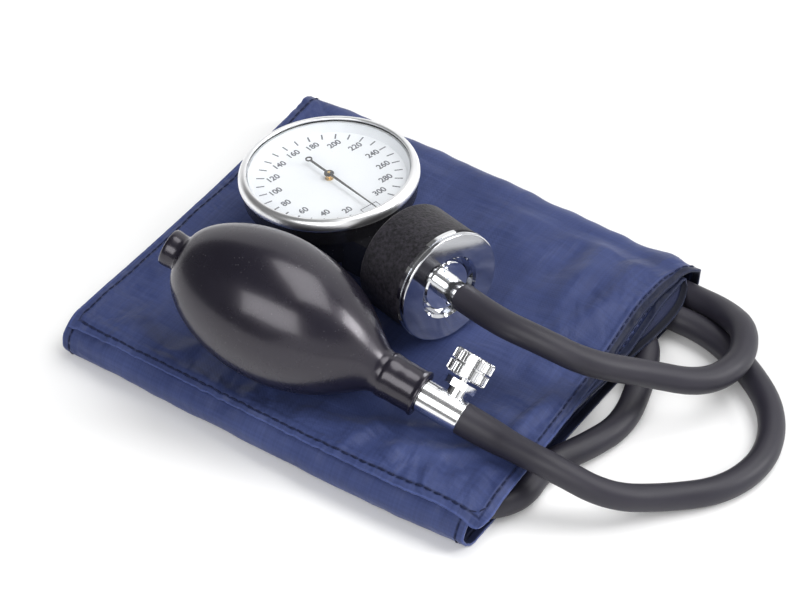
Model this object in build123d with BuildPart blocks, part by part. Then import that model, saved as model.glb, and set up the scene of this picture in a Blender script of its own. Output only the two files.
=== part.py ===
from build123d import *
from math import acos, atan2, ceil, cos, degrees, pi, radians, sin, sqrt, tan
import os

os.makedirs("parts", exist_ok=True)

# Pocket aneroid sphygmomanometer, laid on its folded cuff.
# X runs along the cuff's front edge, Y towards its back fold, Z up. The origin is the middle of
# the folded cuff, on the surface that it lies on. Everything is in millimetres.

# Folded cuff
cuff_width = 152.0
cuff_depth = 133.0
cloth = 1.0
layer_gap = 0.15
hose_space = 9.6
bladder_ply = 0.4
bladder_thickness = 1.0
bladder_play = 0.2
bladder_width = 118.0
bladder_length = 102.0
hem = 8.0
flap_setback_left = 1.5
flap_setback_right = 4.0
flap_skew_left = 6.5
flap_skew_right = 10.0
flap_corner = 7.0
inner_fold_back = 56.5
inner_end_front = -56.0
patch_width = 50.0
patch_length = 96.0
patch_inset = 6.0
patch_thickness = 1.0

# Hoses
hose_od = 8.6
hose_id = 4.4
gauge_hose_lead = 15.0
bulb_hose_lead = 9.5
bend_share = 0.45
gauge_barb = 7.5
valve_barb_out = 5.0
spigot_r = 3.2
spigot_play = 0.2
spigot_arm = 5.0
spigot_barb = 6.0
rest_gap = 0.05
fit_gap = 0.1

# Gauge head, with its heights above the axis of the capsule barrel
gauge_heading = -16.0
gauge_rise = 5.5
flange_spot = (30.2, -6.5)
bezel_r = 28.7
bezel_height = 3.8
bezel_top = 14.2
bezel_lip = 2.7
bezel_lip_thickness = 0.7
bezel_wall = 1.0
bezel_round = 2.1
lens_thickness = 1.7
dial_depth = 2.8
dial_thickness = 0.6
ring_lip = 0.7
ring_slope = 1.3
case_rim_bottom = 5.0
case_wall = 1.3
bowl_r = 23.6
case_back = -6.0
case_round = 1.0
neck_width_head = 24.0
neck_width_barrel = 18.0
neck_bottom = -8.5
neck_bore_r = 2.6

# Pointer and its arbor
pointer_reach = 24.5
pointer_tail = 10.3
pointer_ring_r = 1.15
pointer_ring_hole_r = 0.7
pointer_thickness = 0.25
pointer_root = 0.9
pointer_point = 0.25
pointer_tail_width = 0.7
pointer_lift = 1.8
pointer_boss = 0.35
hub_r = 1.25
hub_height = 0.8
arbor_r = 0.5
arbor_proud = 0.15
running = 0.05
bush_r = 1.35
bush_proud = 0.3

# Movement
tooth_module = 0.4
tooth_share = 0.40
tooth_tip = 0.8
tooth_root = 1.25
pressure_angle = 20.0
flank_steps = 4
pinion_teeth = 8
sector_ratio = 9.5
pointer_sweep = 343.4
lever_arm = 4.0
lever_width = 1.0
lever_end_r = 0.6
sector_thickness = 1.0
sector_margin = 5.0
sector_arbor_r = 0.8
sector_hub_r = 2.2
sector_hub_height = 3.0
pinion_length = 1.8
plate_r = 19.0
plate_thickness = 1.0
base_plate_bottom = -3.4
top_plate_bottom = 3.2
pillar_r = 1.5
pillar_ring = 17.0
pillar_angles = (70.0, 180.0, 290.0)
post_r = 2.0
screw_r = 0.8
screw_play = 0.05
screw_head_r = 1.5
screw_head = 0.7
screw_bite = 1.0
hairspring_turns = 5
hairspring_inner = 1.4
hairspring_pitch = 0.8
hairspring_strip = 0.2
hairspring_height = 0.6
hairspring_bottom = 1.6
stud_r = 0.6
collet_r = 1.2

# Push rod, capsule and barrel, with distances along the barrel from the pointer's axis
rod_r = 0.8
rod_tip_r = 0.6
rod_tip = 3.0
barrel_r = 18.2
barrel_wall = 1.4
barrel_back = 36.5
barrel_front = 55.2
barrel_back_wall = 1.6
barrel_round = 1.2
bush_flange_r = 4.5
bush_flange = 1.5
bush_length = 6.0
barrel_screw_spread = 14.0
barrel_screw_length = 5.0
capsule_r = 14.5
capsule_count = 2
capsule_thickness = 2.6
capsule_sheet = 0.25
capsule_crease = 0.4
capsule_seam = 0.8
capsule_link = 0.7
capsule_link_r = 2.4
capsule_link_wall = 0.5
pad_r = 3.0
pad_thickness = 1.6
seal_width = 1.8
seal_thickness = 1.0
crimp_thickness = 1.4
crimp_r = 17.5
crimp_tab_r = 18.5
crimp_inner_r = 11.4
crimp_tabs = 6
crimp_gap_angle = 26.0
flange_r = 18.4
flange_thickness = 1.8
flange_edge = 0.5
dish_r = 9.9
dish_depth = 3.2
dish_wall = 1.2
dish_edge = 0.7
nut_r = 8.4
nut_thickness = 2.0
nut_edge = 0.5
nut_hole_r = 1.0
nut_hole_spread = 12.6
stem_r = 3.0
nipple_collar_r = 4.1
nipple_collar = 2.6
nipple_r = 3.85
nipple_length = 5.1
nipple_bore_r = 1.2

# Spring clip on the back of the head
clip_width = 12.0
clip_thickness = 0.9
clip_root = 9.0
clip_flat = 12.0
clip_ridge = -18.0
clip_lip = 6.0
clip_lip_lift = 3.0
rivet_r = 0.9
rivet_head_r = 1.8
rivet_head = 0.5
rivet_edge = 3.0
rivet_spacing = 6.0

# Bulb, with distances along its axis from near the middle of its widest part
bulb_spot = (-2.6, -46.9)
bulb_heading = 6.5
bulb_dip = 14.4
bulb_r = 22.5
bulb_wall = 2.2
bulb_widest = -4.5
bulb_tail_end = -42.0
bulb_tail_root = -36.5
bulb_tail_r = 5.8
bulb_tail_bulge = 6.3
bulb_tail_sweep = 17.7
bulb_shoulder = 22.5
bulb_throat = 7.0
bulb_throat_rise = 3.3
bulb_neck_root = 35.0
bulb_neck_end = 48.3
bulb_neck_r = 6.7
bulb_lip_round = 0.6
neck_bore = 4.6
tail_bore = 4.0
reach_steps = 60

# Non-return valves
ball_r = 1.5
ball_seat_r = 1.0
ball_chamber_r = 1.8
ball_play = 0.03
ball_travel = 0.9
ball_spare = 0.25
seat_thickness = 1.8
cage_thickness = 0.6
cage_hole_r = 0.8

# Release valve
valve_r = 5.2
valve_end = 62.7
valve_barb_in = 9.5
valve_bore_r = 1.4
valve_edge = 0.3
knob_place = 57.4
knob_lean = 48.0
boss_r = 3.0
boss_top = 8.4
vent_r = 0.4
vent_height = 6.2
gland_flats = 8.6
gland_bottom = 7.2
gland_top = 9.6
needle_r = 1.5
needle_play = 0.06
needle_top = 16.4
needle_shoulder = 4.4
needle_tip_r = 0.35
needle_tip = 2.3
needle_seat_r = 0.8
knob_bottom = 10.7
knob_top = 18.6
knob_r = 6.65
knob_groove = 0.6
knob_groove_depth = 0.7
knob_knurls = 36
knob_knurl_r = 0.32
knob_crown = 0.9

# Heights of the cuff's layers
bladder_layer_bottom = cloth + hose_space
bladder_layer_top = bladder_layer_bottom + 2 * bladder_ply + bladder_thickness + bladder_play
inner_layer_bottom = bladder_layer_top + layer_gap
inner_layer_top = inner_layer_bottom + cloth
flap_bottom = inner_layer_top + layer_gap
cuff_top = flap_bottom + cloth
cuff_back = cuff_depth / 2
cuff_front = -cuff_depth / 2
cuff_left = -cuff_width / 2
cuff_right = cuff_width / 2

hose_r = hose_od / 2
hose_bore_r = hose_id / 2


def heading_vector(heading, rise):
    """Unit vector at a compass heading from +X and a rise above the horizontal."""
    flat = cos(radians(rise))
    return Vector(cos(radians(heading)) * flat, sin(radians(heading)) * flat, sin(radians(rise)))


def frame_along(origin, direction):
    """Plane whose X runs along the direction and whose Y stays level."""
    level = Vector(0, 0, 1).cross(direction).normalized()
    return Plane(origin=origin, x_dir=direction, z_dir=direction.cross(level))


def meridian_of(frame):
    """Plane through the frame's X and Z, for profiles that are turned about either."""
    return Plane(origin=frame.origin, x_dir=frame.x_dir, z_dir=frame.x_dir.cross(frame.z_dir))


def cross_plane(frame, along):
    """Plane square to the frame's X at a distance along it, with X level and Y up."""
    return Plane(origin=frame.origin + frame.x_dir * along, x_dir=frame.y_dir, z_dir=frame.x_dir)


def turned(plane, axis, points, mode=Mode.ADD):
    """Turn a closed outline about an axis into the part that is being built."""
    with BuildSketch(plane) as outline:
        with BuildLine():
            Polyline(*points, close=True)
        make_face()
    revolve(outline.sketch, axis=axis, mode=mode)


def bar(plane, radius, length, spots=((0, 0),), mode=Mode.ADD):
    """Round bars, or bored holes, of one length that start at spots on a plane."""
    with BuildSketch(plane) as section:
        with Locations(*spots):
            Circle(radius)
    extrude(section.sketch, amount=length, mode=mode)


def rims(builder, axis):
    """The part's round edges in order along an axis."""
    return builder.edges().filter_by(GeomType.CIRCLE).sort_by(axis)


def save(builder, label):
    """Label the finished piece and write it to its own file."""
    builder.part.label = label
    export_step(builder.part, f"parts/{label}.step")


# Gauge frame: X along the barrel, Z out of the dial, origin on the barrel's axis under the pointer.
# The barrel's lower back edge rests on the cuff.
gauge_dir = heading_vector(gauge_heading, gauge_rise)
rise_cos = cos(radians(gauge_rise))
rise_sin = sin(radians(gauge_rise))
gauge_height = cuff_top + rest_gap + barrel_r * rise_cos - barrel_back * rise_sin
flange_back = barrel_front + crimp_thickness
flange_front = flange_back + flange_thickness
gauge_origin = Vector(
    flange_spot[0] - flange_front * gauge_dir.X,
    flange_spot[1] - flange_front * gauge_dir.Y,
    gauge_height,
)
gauge_frame = frame_along(gauge_origin, gauge_dir)
gauge_cut = meridian_of(gauge_frame)
dial_axis = Axis(gauge_frame.origin, gauge_frame.z_dir)
barrel_axis = Axis(gauge_frame.origin, gauge_frame.x_dir)

# Heights and radii in the head
bezel_bottom = bezel_top - bezel_height
lens_top = bezel_top - bezel_lip_thickness
lens_bottom = lens_top - lens_thickness
dial_top = lens_bottom - dial_depth
dial_bottom = dial_top - dial_thickness
case_rim_r = bezel_r - bezel_wall - fit_gap
case_seat_r = case_rim_r - case_wall
dial_r = case_seat_r - fit_gap
case_ledge_r = dial_r - case_wall
bowl_inner_r = bowl_r - case_wall
case_floor = case_back + case_wall
shelf = case_rim_bottom + case_wall
pointer_bottom = dial_top + pointer_lift
hub_bottom = pointer_bottom - (hub_height - pointer_thickness) / 2
arbor_top = hub_bottom + hub_height + arbor_proud
top_plate_top = top_plate_bottom + plate_thickness
base_plate_top = base_plate_bottom + plate_thickness
pivot_bottom = base_plate_bottom + fit_gap
screw_bore_r = screw_r + screw_play
pillar_spots = [
    (pillar_ring * cos(radians(angle)), pillar_ring * sin(radians(angle))) for angle in pillar_angles
]

with BuildPart() as bezel:
    turned(gauge_cut, dial_axis, [
        (case_rim_r + fit_gap, bezel_bottom),
        (bezel_r, bezel_bottom),
        (bezel_r, bezel_top),
        (bezel_r - bezel_lip, bezel_top),
        (bezel_r - bezel_lip, lens_top),
        (case_rim_r + fit_gap, lens_top),
    ])
    fillet(rims(bezel, dial_axis)[-2:].sort_by(SortBy.RADIUS)[-1:], bezel_round)
save(bezel, "bezel")

with BuildPart() as lens:
    bar(gauge_frame.offset(lens_bottom), case_rim_r, lens_thickness)
save(lens, "lens")

with BuildPart() as dial_ring:
    turned(gauge_cut, dial_axis, [
        (dial_r, dial_top),
        (dial_r, lens_bottom),
        (dial_r - ring_lip, lens_bottom),
        (dial_r - ring_lip - ring_slope, dial_top),
    ])
save(dial_ring, "dial_ring")

with BuildPart() as dial_plate:
    bar(gauge_frame.offset(dial_bottom), dial_r, dial_thickness)
    bar(gauge_frame.offset(dial_bottom), bush_r + running, dial_thickness, mode=Mode.SUBTRACT)
save(dial_plate, "dial_plate")

# The collar that guides the arbor through the dial stands on the movement's top plate
with BuildPart() as dial_bush:
    bush_stand = gauge_frame.offset(top_plate_top)
    bush_rise = dial_top + bush_proud - top_plate_top
    bar(bush_stand, bush_r, bush_rise)
    bar(bush_stand, arbor_r + running, bush_rise, mode=Mode.SUBTRACT)
save(dial_bush, "dial_bush")

# The pointer rests over the zero mark, which lies towards the barrel
with BuildPart() as pointer:
    with BuildSketch(gauge_frame.offset(pointer_bottom)):
        with BuildLine():
            Polyline(
                (0, -pointer_root / 2),
                (pointer_reach, -pointer_point / 2),
                (pointer_reach, pointer_point / 2),
                (0, pointer_root / 2),
                close=True,
            )
        make_face()
        Circle(hub_r + pointer_boss)
        tail_bar = pointer_tail - pointer_ring_hole_r
        with Locations((-tail_bar / 2, 0)):
            Rectangle(tail_bar, pointer_tail_width)
        with Locations((-pointer_tail, 0)):
            Circle(pointer_ring_r)
            Circle(pointer_ring_hole_r, mode=Mode.SUBTRACT)
        Circle(hub_r, mode=Mode.SUBTRACT)
    extrude(amount=pointer_thickness)
save(pointer, "pointer")

with BuildPart() as pointer_hub:
    bar(gauge_frame.offset(hub_bottom), hub_r, hub_height)
    bar(gauge_frame.offset(hub_bottom), arbor_r, hub_height, mode=Mode.SUBTRACT)
save(pointer_hub, "pointer_hub")

# Gear train: a toothed sector with a short lever turns the pinion under the pointer.
# At rest the pinion has a gap, and the sector a tooth, on the line between their shafts.
pinion_pitch_r = pinion_teeth * tooth_module / 2
sector_teeth = pinion_teeth * sector_ratio
sector_pitch_r = sector_teeth * tooth_module / 2
shaft_x = sqrt((pinion_pitch_r + sector_pitch_r) ** 2 - lever_arm ** 2)
sector_swing = pointer_sweep / sector_ratio
mesh_heading = degrees(atan2(lever_arm, -shaft_x))
tooth_angle = 360 / sector_teeth
lever_x = shaft_x + lever_arm * sin(radians(sector_swing / 2))
rod_travel = 2 * lever_arm * sin(radians(sector_swing / 2))


def head_plane(x, y, z):
    """Plane parallel to the dial at a point of the gauge frame."""
    spot = gauge_frame.from_local_coords(Vector(x, y, z))
    return Plane(origin=spot, x_dir=gauge_frame.x_dir, z_dir=gauge_frame.z_dir)


def tooth_half_angle(teeth, radius):
    """Half the angle of an involute tooth at a radius, with radial flanks below its base circle."""
    base_r = teeth * tooth_module / 2 * cos(radians(pressure_angle))
    there = acos(min(1.0, base_r / radius))
    opening = tan(radians(pressure_angle)) - radians(pressure_angle) - (tan(there) - there)
    return tooth_share * pi / teeth + opening


def tooth_points(teeth, numbers, heading):
    """Outline points of the numbered teeth of a gear, in turn, with tooth 0 at the heading."""
    root_r = (teeth / 2 - tooth_root) * tooth_module
    tip_r = (teeth / 2 + tooth_tip) * tooth_module
    flank = [root_r + (tip_r - root_r) * step / flank_steps for step in range(flank_steps + 1)]
    points = []
    for number in numbers:
        middle = radians(heading) + 2 * pi * number / teeth
        rising = [(radius, middle - tooth_half_angle(teeth, radius)) for radius in flank]
        falling = [(radius, middle + tooth_half_angle(teeth, radius)) for radius in reversed(flank)]
        points += [(radius * cos(angle), radius * sin(angle)) for radius, angle in rising + falling]
    return points


with BuildPart() as arbor_pinion:
    bar(gauge_frame.offset(pivot_bottom), arbor_r, arbor_top - pivot_bottom)
    with BuildSketch(gauge_frame.offset(-pinion_length / 2)) as pinion_outline:
        with BuildLine():
            pinion_gap_heading = mesh_heading + 180 + 180 / pinion_teeth
            Polyline(*tooth_points(pinion_teeth, range(pinion_teeth), pinion_gap_heading), close=True)
        make_face()
    extrude(amount=pinion_length)
save(arbor_pinion, "arbor_pinion")

with BuildPart() as sector_gear:
    with BuildSketch(head_plane(shaft_x, -lever_arm, -sector_thickness / 2)):
        with BuildLine():
            ahead = ceil(sector_margin / tooth_angle)
            behind = ceil((sector_swing + sector_margin) / tooth_angle)
            rim_points = tooth_points(sector_teeth, range(-behind, ahead + 1), mesh_heading)
            Polyline((0, 0), *rim_points, close=True)
        make_face()
        with BuildLine():
            lever_angle = radians(90 - sector_swing / 2)
            lever_tip = (lever_arm * cos(lever_angle), lever_arm * sin(lever_angle))
            lever_side = (lever_width / 2 * sin(lever_angle), -lever_width / 2 * cos(lever_angle))
            Polyline(
                lever_side,
                (lever_tip[0] + lever_side[0], lever_tip[1] + lever_side[1]),
                (lever_tip[0] - lever_side[0], lever_tip[1] - lever_side[1]),
                (-lever_side[0], -lever_side[1]),
                close=True,
            )
        make_face()
        with Locations(lever_tip):
            Circle(lever_end_r)
    extrude(amount=sector_thickness)
    hub_plane = head_plane(shaft_x, -lever_arm, -sector_hub_height / 2)
    bar(hub_plane, sector_hub_r, sector_hub_height)
    bar(hub_plane, sector_arbor_r, sector_hub_height, mode=Mode.SUBTRACT)
save(sector_gear, "sector_gear")

with BuildPart() as sector_shaft:
    shaft_foot = head_plane(shaft_x, -lever_arm, pivot_bottom)
    bar(shaft_foot, sector_arbor_r, top_plate_top - fit_gap - pivot_bottom)
save(sector_shaft, "sector_shaft")


def movement_plate(bottom):
    """Round plate with holes for both shafts and for the screws."""
    stand = gauge_frame.offset(bottom)
    bar(stand, plate_r, plate_thickness)
    bar(stand, arbor_r + running, plate_thickness, mode=Mode.SUBTRACT)
    bar(stand, sector_arbor_r + running, plate_thickness, [(shaft_x, -lever_arm)], Mode.SUBTRACT)
    bar(stand, screw_bore_r, plate_thickness, pillar_spots, Mode.SUBTRACT)


with BuildPart() as movement_base_plate:
    movement_plate(base_plate_bottom)
save(movement_base_plate, "movement_base_plate")

with BuildPart() as movement_top_plate:
    movement_plate(top_plate_bottom)
save(movement_top_plate, "movement_top_plate")

with BuildPart() as movement_pillars:
    pillar_length = top_plate_bottom - base_plate_top
    bar(gauge_frame.offset(base_plate_top), pillar_r, pillar_length, pillar_spots)
    bar(gauge_frame.offset(base_plate_top), screw_bore_r, pillar_length, pillar_spots, Mode.SUBTRACT)
save(movement_pillars, "movement_pillars")

with BuildPart() as movement_screws:
    screw_foot = base_plate_bottom - screw_bite
    bar(gauge_frame.offset(screw_foot), screw_r, top_plate_top - screw_foot, pillar_spots)
    bar(gauge_frame.offset(top_plate_top), screw_head_r, screw_head, pillar_spots)
save(movement_screws, "movement_screws")

# Hairspring: a flat strip wound in half circles whose centres alternate by half the pitch
with BuildPart() as hairspring:
    with BuildSketch(gauge_frame.offset(hairspring_bottom)):
        with BuildLine():
            for side in (-hairspring_strip / 2, hairspring_strip / 2):
                for half in range(2 * hairspring_turns):
                    half_r = hairspring_inner + half * hairspring_pitch / 2
                    odd = half % 2
                    CenterArc((odd * hairspring_pitch / 2, 0), half_r + side, 180 * odd, 180)
            for end in (hairspring_inner, hairspring_inner + hairspring_turns * hairspring_pitch):
                Line((end - hairspring_strip / 2, 0), (end + hairspring_strip / 2, 0))
        make_face()
    extrude(amount=hairspring_height)
save(hairspring, "hairspring")

with BuildPart() as hairspring_collet:
    bar(gauge_frame.offset(hairspring_bottom), collet_r, hairspring_height)
    bar(gauge_frame.offset(hairspring_bottom), arbor_r, hairspring_height, mode=Mode.SUBTRACT)
save(hairspring_collet, "hairspring_collet")

with BuildPart() as hairspring_stud:
    stud_x = hairspring_inner + hairspring_turns * hairspring_pitch + hairspring_strip / 2 + stud_r
    stud_length = top_plate_bottom - hairspring_bottom
    bar(gauge_frame.offset(hairspring_bottom), stud_r, stud_length, [(stud_x, 0)])
save(hairspring_stud, "hairspring_stud")

# Case: a bowl for the movement, a wide rim for the dial, and a neck that carries the barrel
rivet_spots = [(clip_root - rivet_edge - step * rivet_spacing, 0) for step in range(2)]
barrel_screw_spots = [(-barrel_screw_spread / 2, 0), (barrel_screw_spread / 2, 0)]

# The outline starts opposite the neck, so that no seam of the bowl crosses the neck's bore
case_cut = Plane(origin=gauge_frame.origin, x_dir=-gauge_frame.x_dir, z_dir=gauge_frame.y_dir)

with BuildPart() as gauge_case:
    turned(case_cut, dial_axis, [
        (0, case_back),
        (bowl_r, case_back),
        (bowl_r, case_rim_bottom),
        (case_rim_r, case_rim_bottom),
        (case_rim_r, lens_bottom),
        (0, lens_bottom),
    ])
    fillet(rims(gauge_case, dial_axis)[:1], case_round)
    with BuildSketch(gauge_frame.offset(neck_bottom)):
        with BuildLine():
            neck_root = sqrt((bowl_r - case_wall / 2) ** 2 - (neck_width_head / 2) ** 2)
            Polyline(
                (neck_root, -neck_width_head / 2),
                (barrel_back, -neck_width_barrel / 2),
                (barrel_back, neck_width_barrel / 2),
                (neck_root, neck_width_head / 2),
                close=True,
            )
        make_face()
    extrude(amount=case_rim_bottom - neck_bottom)
    turned(case_cut, dial_axis, [
        (0, case_floor),
        (bowl_inner_r, case_floor),
        (bowl_inner_r, shelf),
        (case_ledge_r, shelf),
        (case_ledge_r, dial_bottom),
        (case_seat_r, dial_bottom),
        (case_seat_r, lens_bottom),
        (0, lens_bottom),
    ], Mode.SUBTRACT)
    bar(gauge_frame.offset(case_floor), post_r, base_plate_bottom - case_floor, pillar_spots)
    bar(gauge_frame.offset(screw_foot), screw_bore_r, screw_bite, pillar_spots, Mode.SUBTRACT)
    bar(gauge_frame.offset(case_back), rivet_r, case_wall, rivet_spots, Mode.SUBTRACT)
    bar(cross_plane(gauge_frame, barrel_back), neck_bore_r, bowl_inner_r - barrel_back, mode=Mode.SUBTRACT)
    bar(
        cross_plane(gauge_frame, barrel_back),
        screw_r,
        -barrel_screw_length,
        barrel_screw_spots,
        Mode.SUBTRACT,
    )
save(gauge_case, "gauge_case")

# Barrel: the cup that holds the pressure capsule
with BuildPart() as capsule_barrel:
    bar(cross_plane(gauge_frame, barrel_back), barrel_r, barrel_front - barrel_back)
    fillet(rims(capsule_barrel, barrel_axis)[:1], barrel_round)
    cup_plane = cross_plane(gauge_frame, barrel_back + barrel_back_wall)
    cup_depth = barrel_front - barrel_back - barrel_back_wall
    bar(cup_plane, barrel_r - barrel_wall, cup_depth, mode=Mode.SUBTRACT)
    bar(cross_plane(gauge_frame, barrel_back), neck_bore_r, barrel_back_wall, mode=Mode.SUBTRACT)
    bar(
        cross_plane(gauge_frame, barrel_back),
        screw_r,
        barrel_back_wall,
        barrel_screw_spots,
        Mode.SUBTRACT,
    )
save(capsule_barrel, "capsule_barrel")

with BuildPart() as barrel_screws:
    bar(
        cross_plane(gauge_frame, barrel_back - barrel_screw_length),
        screw_r,
        barrel_screw_length + barrel_back_wall,
        barrel_screw_spots,
    )
    bar(cup_plane, screw_head_r, screw_head, barrel_screw_spots)
save(barrel_screws, "barrel_screws")

with BuildPart() as neck_bush:
    bush_end = barrel_back + barrel_back_wall
    turned(gauge_cut, barrel_axis, [
        (bush_end - bush_length, rod_r + running),
        (bush_end - bush_length, neck_bore_r),
        (bush_end, neck_bore_r),
        (bush_end, bush_flange_r),
        (bush_end + bush_flange, bush_flange_r),
        (bush_end + bush_flange, rod_r + running),
    ])
save(neck_bush, "neck_bush")

# Capsule: hollow corrugated discs in a row, fixed at the flange and free towards the push rod
dish_floor = flange_front - dish_depth
dish_back = dish_floor - dish_wall
capsule_pitch = capsule_thickness + capsule_link
capsule_back = dish_back - capsule_count * capsule_pitch


def diaphragm(face, middle, hole_r):
    """One corrugated sheet from its face at the middle of the capsule to the seam at the rim."""
    inward = (middle - face) / abs(middle - face)
    wave = (capsule_r - capsule_seam - capsule_link_r) / 4
    sheet = capsule_sheet * inward
    crest = [
        (face, hole_r),
        (face, capsule_link_r),
        (face + capsule_crease * inward, capsule_link_r + wave),
        (face, capsule_link_r + 2 * wave),
        (face + capsule_crease * inward, capsule_link_r + 3 * wave),
        (middle - sheet, capsule_r - capsule_seam),
        (middle - sheet, capsule_r),
    ]
    back = [(along + sheet, radius) for along, radius in reversed(crest)]
    turned(gauge_cut, barrel_axis, crest + back)


with BuildPart() as capsule:
    link_bore_r = capsule_link_r - capsule_link_wall
    for number in range(capsule_count):
        front_face = dish_back - capsule_link - number * capsule_pitch
        back_face = front_face - capsule_thickness
        middle = (front_face + back_face) / 2
        last = number == capsule_count - 1
        diaphragm(front_face, middle, link_bore_r)
        diaphragm(back_face, middle, 0 if last else link_bore_r)
        turned(gauge_cut, barrel_axis, [
            (front_face, link_bore_r),
            (front_face, capsule_link_r),
            (front_face + capsule_link, capsule_link_r),
            (front_face + capsule_link, link_bore_r),
        ])
save(capsule, "capsule")

with BuildPart() as capsule_pad:
    pad_front = capsule_back - fit_gap
    pad_back = pad_front - pad_thickness
    bar(cross_plane(gauge_frame, pad_back), pad_r, pad_thickness)
save(capsule_pad, "capsule_pad")

with BuildPart() as push_rod:
    rod_start = lever_x + lever_end_r + fit_gap
    turned(gauge_cut, barrel_axis, [
        (rod_start, 0),
        (rod_start, rod_tip_r),
        (rod_start + rod_tip, rod_tip_r),
        (rod_start + rod_tip, rod_r),
        (pad_back, rod_r),
        (pad_back, 0),
    ])
save(push_rod, "push_rod")

with BuildPart() as flange_seal:
    seal_r = barrel_r - barrel_wall
    turned(gauge_cut, barrel_axis, [
        (barrel_front - seal_thickness, seal_r - seal_width),
        (barrel_front - seal_thickness, seal_r),
        (barrel_front, seal_r),
        (barrel_front, seal_r - seal_width),
    ])
save(flange_seal, "flange_seal")

# Crimp ring with lugs that show as bright teeth round the barrel's mouth
with BuildPart() as crimp_ring:
    with BuildSketch(cross_plane(gauge_frame, barrel_front)):
        Circle(crimp_tab_r)
        with PolarLocations(0, crimp_tabs):
            gap_reach = 2 * crimp_tab_r
            gap_side = gap_reach * tan(radians(crimp_gap_angle / 2))
            Polygon((0, 0), (gap_reach, -gap_side), (gap_reach, gap_side), align=None, mode=Mode.SUBTRACT)
        Circle(crimp_r)
        Circle(crimp_inner_r, mode=Mode.SUBTRACT)
    extrude(amount=crimp_thickness)
save(crimp_ring, "crimp_ring")

with BuildPart() as flange_plate:
    turned(gauge_cut, barrel_axis, [
        (flange_back, dish_r + dish_wall),
        (flange_back, flange_r),
        (flange_front, flange_r),
        (flange_front, dish_r + dish_edge),
        (flange_front - dish_edge, dish_r),
        (dish_floor, dish_r),
        (dish_floor, stem_r + running),
        (dish_back, stem_r + running),
        (dish_back, dish_r + dish_wall),
    ])
    fillet(flange_plate.edges().filter_by(GeomType.CIRCLE).sort_by(SortBy.RADIUS)[-2:], flange_edge)
save(flange_plate, "flange_plate")

with BuildPart() as spanner_nut:
    nut_plane = cross_plane(gauge_frame, dish_floor)
    bar(nut_plane, nut_r, nut_thickness)
    chamfer(rims(spanner_nut, barrel_axis)[-1:], nut_edge)
    bar(nut_plane, stem_r + running, nut_thickness, mode=Mode.SUBTRACT)
    nut_holes = [(0, -nut_hole_spread / 2), (0, nut_hole_spread / 2)]
    bar(nut_plane, nut_hole_r, nut_thickness, nut_holes, Mode.SUBTRACT)
save(spanner_nut, "spanner_nut")

with BuildPart() as gauge_nipple:
    collar_foot = dish_floor + nut_thickness
    nipple_end = collar_foot + nipple_collar + nipple_length
    turned(gauge_cut, barrel_axis, [
        (dish_back, nipple_bore_r),
        (dish_back, stem_r),
        (collar_foot, stem_r),
        (collar_foot, nipple_collar_r),
        (collar_foot + nipple_collar, nipple_collar_r),
        (collar_foot + nipple_collar, nipple_r),
        (nipple_end, nipple_r),
        (nipple_end, hose_bore_r),
        (nipple_end + gauge_barb, hose_bore_r),
        (nipple_end + gauge_barb, nipple_bore_r),
    ])
save(gauge_nipple, "gauge_nipple")

# Spring clip: riveted under the bowl, its ridge rests on the cuff
ridge_height = (cuff_top + rest_gap - gauge_height - clip_ridge * rise_sin) / rise_cos
clip_line = [
    (clip_root, case_back),
    (clip_root - clip_flat, case_back),
    (clip_ridge, ridge_height + clip_thickness),
    (clip_ridge - clip_lip, ridge_height + clip_thickness + clip_lip_lift),
]

with BuildPart() as gauge_clip:
    with BuildSketch(gauge_cut):
        with BuildLine():
            under_line = [(along, height - clip_thickness) for along, height in reversed(clip_line)]
            Polyline(*clip_line, *under_line, close=True)
        make_face()
    extrude(amount=clip_width / 2, both=True)
    clip_under = case_back - clip_thickness
    bar(gauge_frame.offset(clip_under), rivet_r, clip_thickness, rivet_spots, Mode.SUBTRACT)
save(gauge_clip, "gauge_clip")

with BuildPart() as clip_rivets:
    bar(gauge_frame.offset(clip_under), rivet_r, clip_thickness + case_wall, rivet_spots)
    bar(gauge_frame.offset(clip_under - rivet_head), rivet_head_r, rivet_head, rivet_spots)
save(clip_rivets, "clip_rivets")

# Bulb: its lowest point rests on the cuff, so its height follows from its curve and its dip
tail_handles = [
    (bulb_tail_root, bulb_tail_r),
    (bulb_tail_root, bulb_tail_r + bulb_tail_bulge),
    (bulb_widest - bulb_tail_sweep, bulb_r),
    (bulb_widest, bulb_r),
]
front_handles = [
    (bulb_widest, bulb_r),
    (bulb_widest + bulb_shoulder, bulb_r),
    (bulb_neck_root - bulb_throat, bulb_neck_r + bulb_throat_rise),
    (bulb_neck_root, bulb_neck_r),
]
front_curve = Bezier(*front_handles)
front_points = [front_curve @ (step / reach_steps) for step in range(reach_steps + 1)]
bulb_reach = max(
    point.Y * cos(radians(bulb_dip)) + point.X * sin(radians(bulb_dip)) for point in front_points
)
bulb_centre = Vector(bulb_spot[0], bulb_spot[1], cuff_top + fit_gap + bulb_reach)
bulb_frame = frame_along(bulb_centre, heading_vector(bulb_heading, -bulb_dip))
bulb_cut = meridian_of(bulb_frame)
bulb_axis = Axis(bulb_frame.origin, bulb_frame.x_dir)

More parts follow.
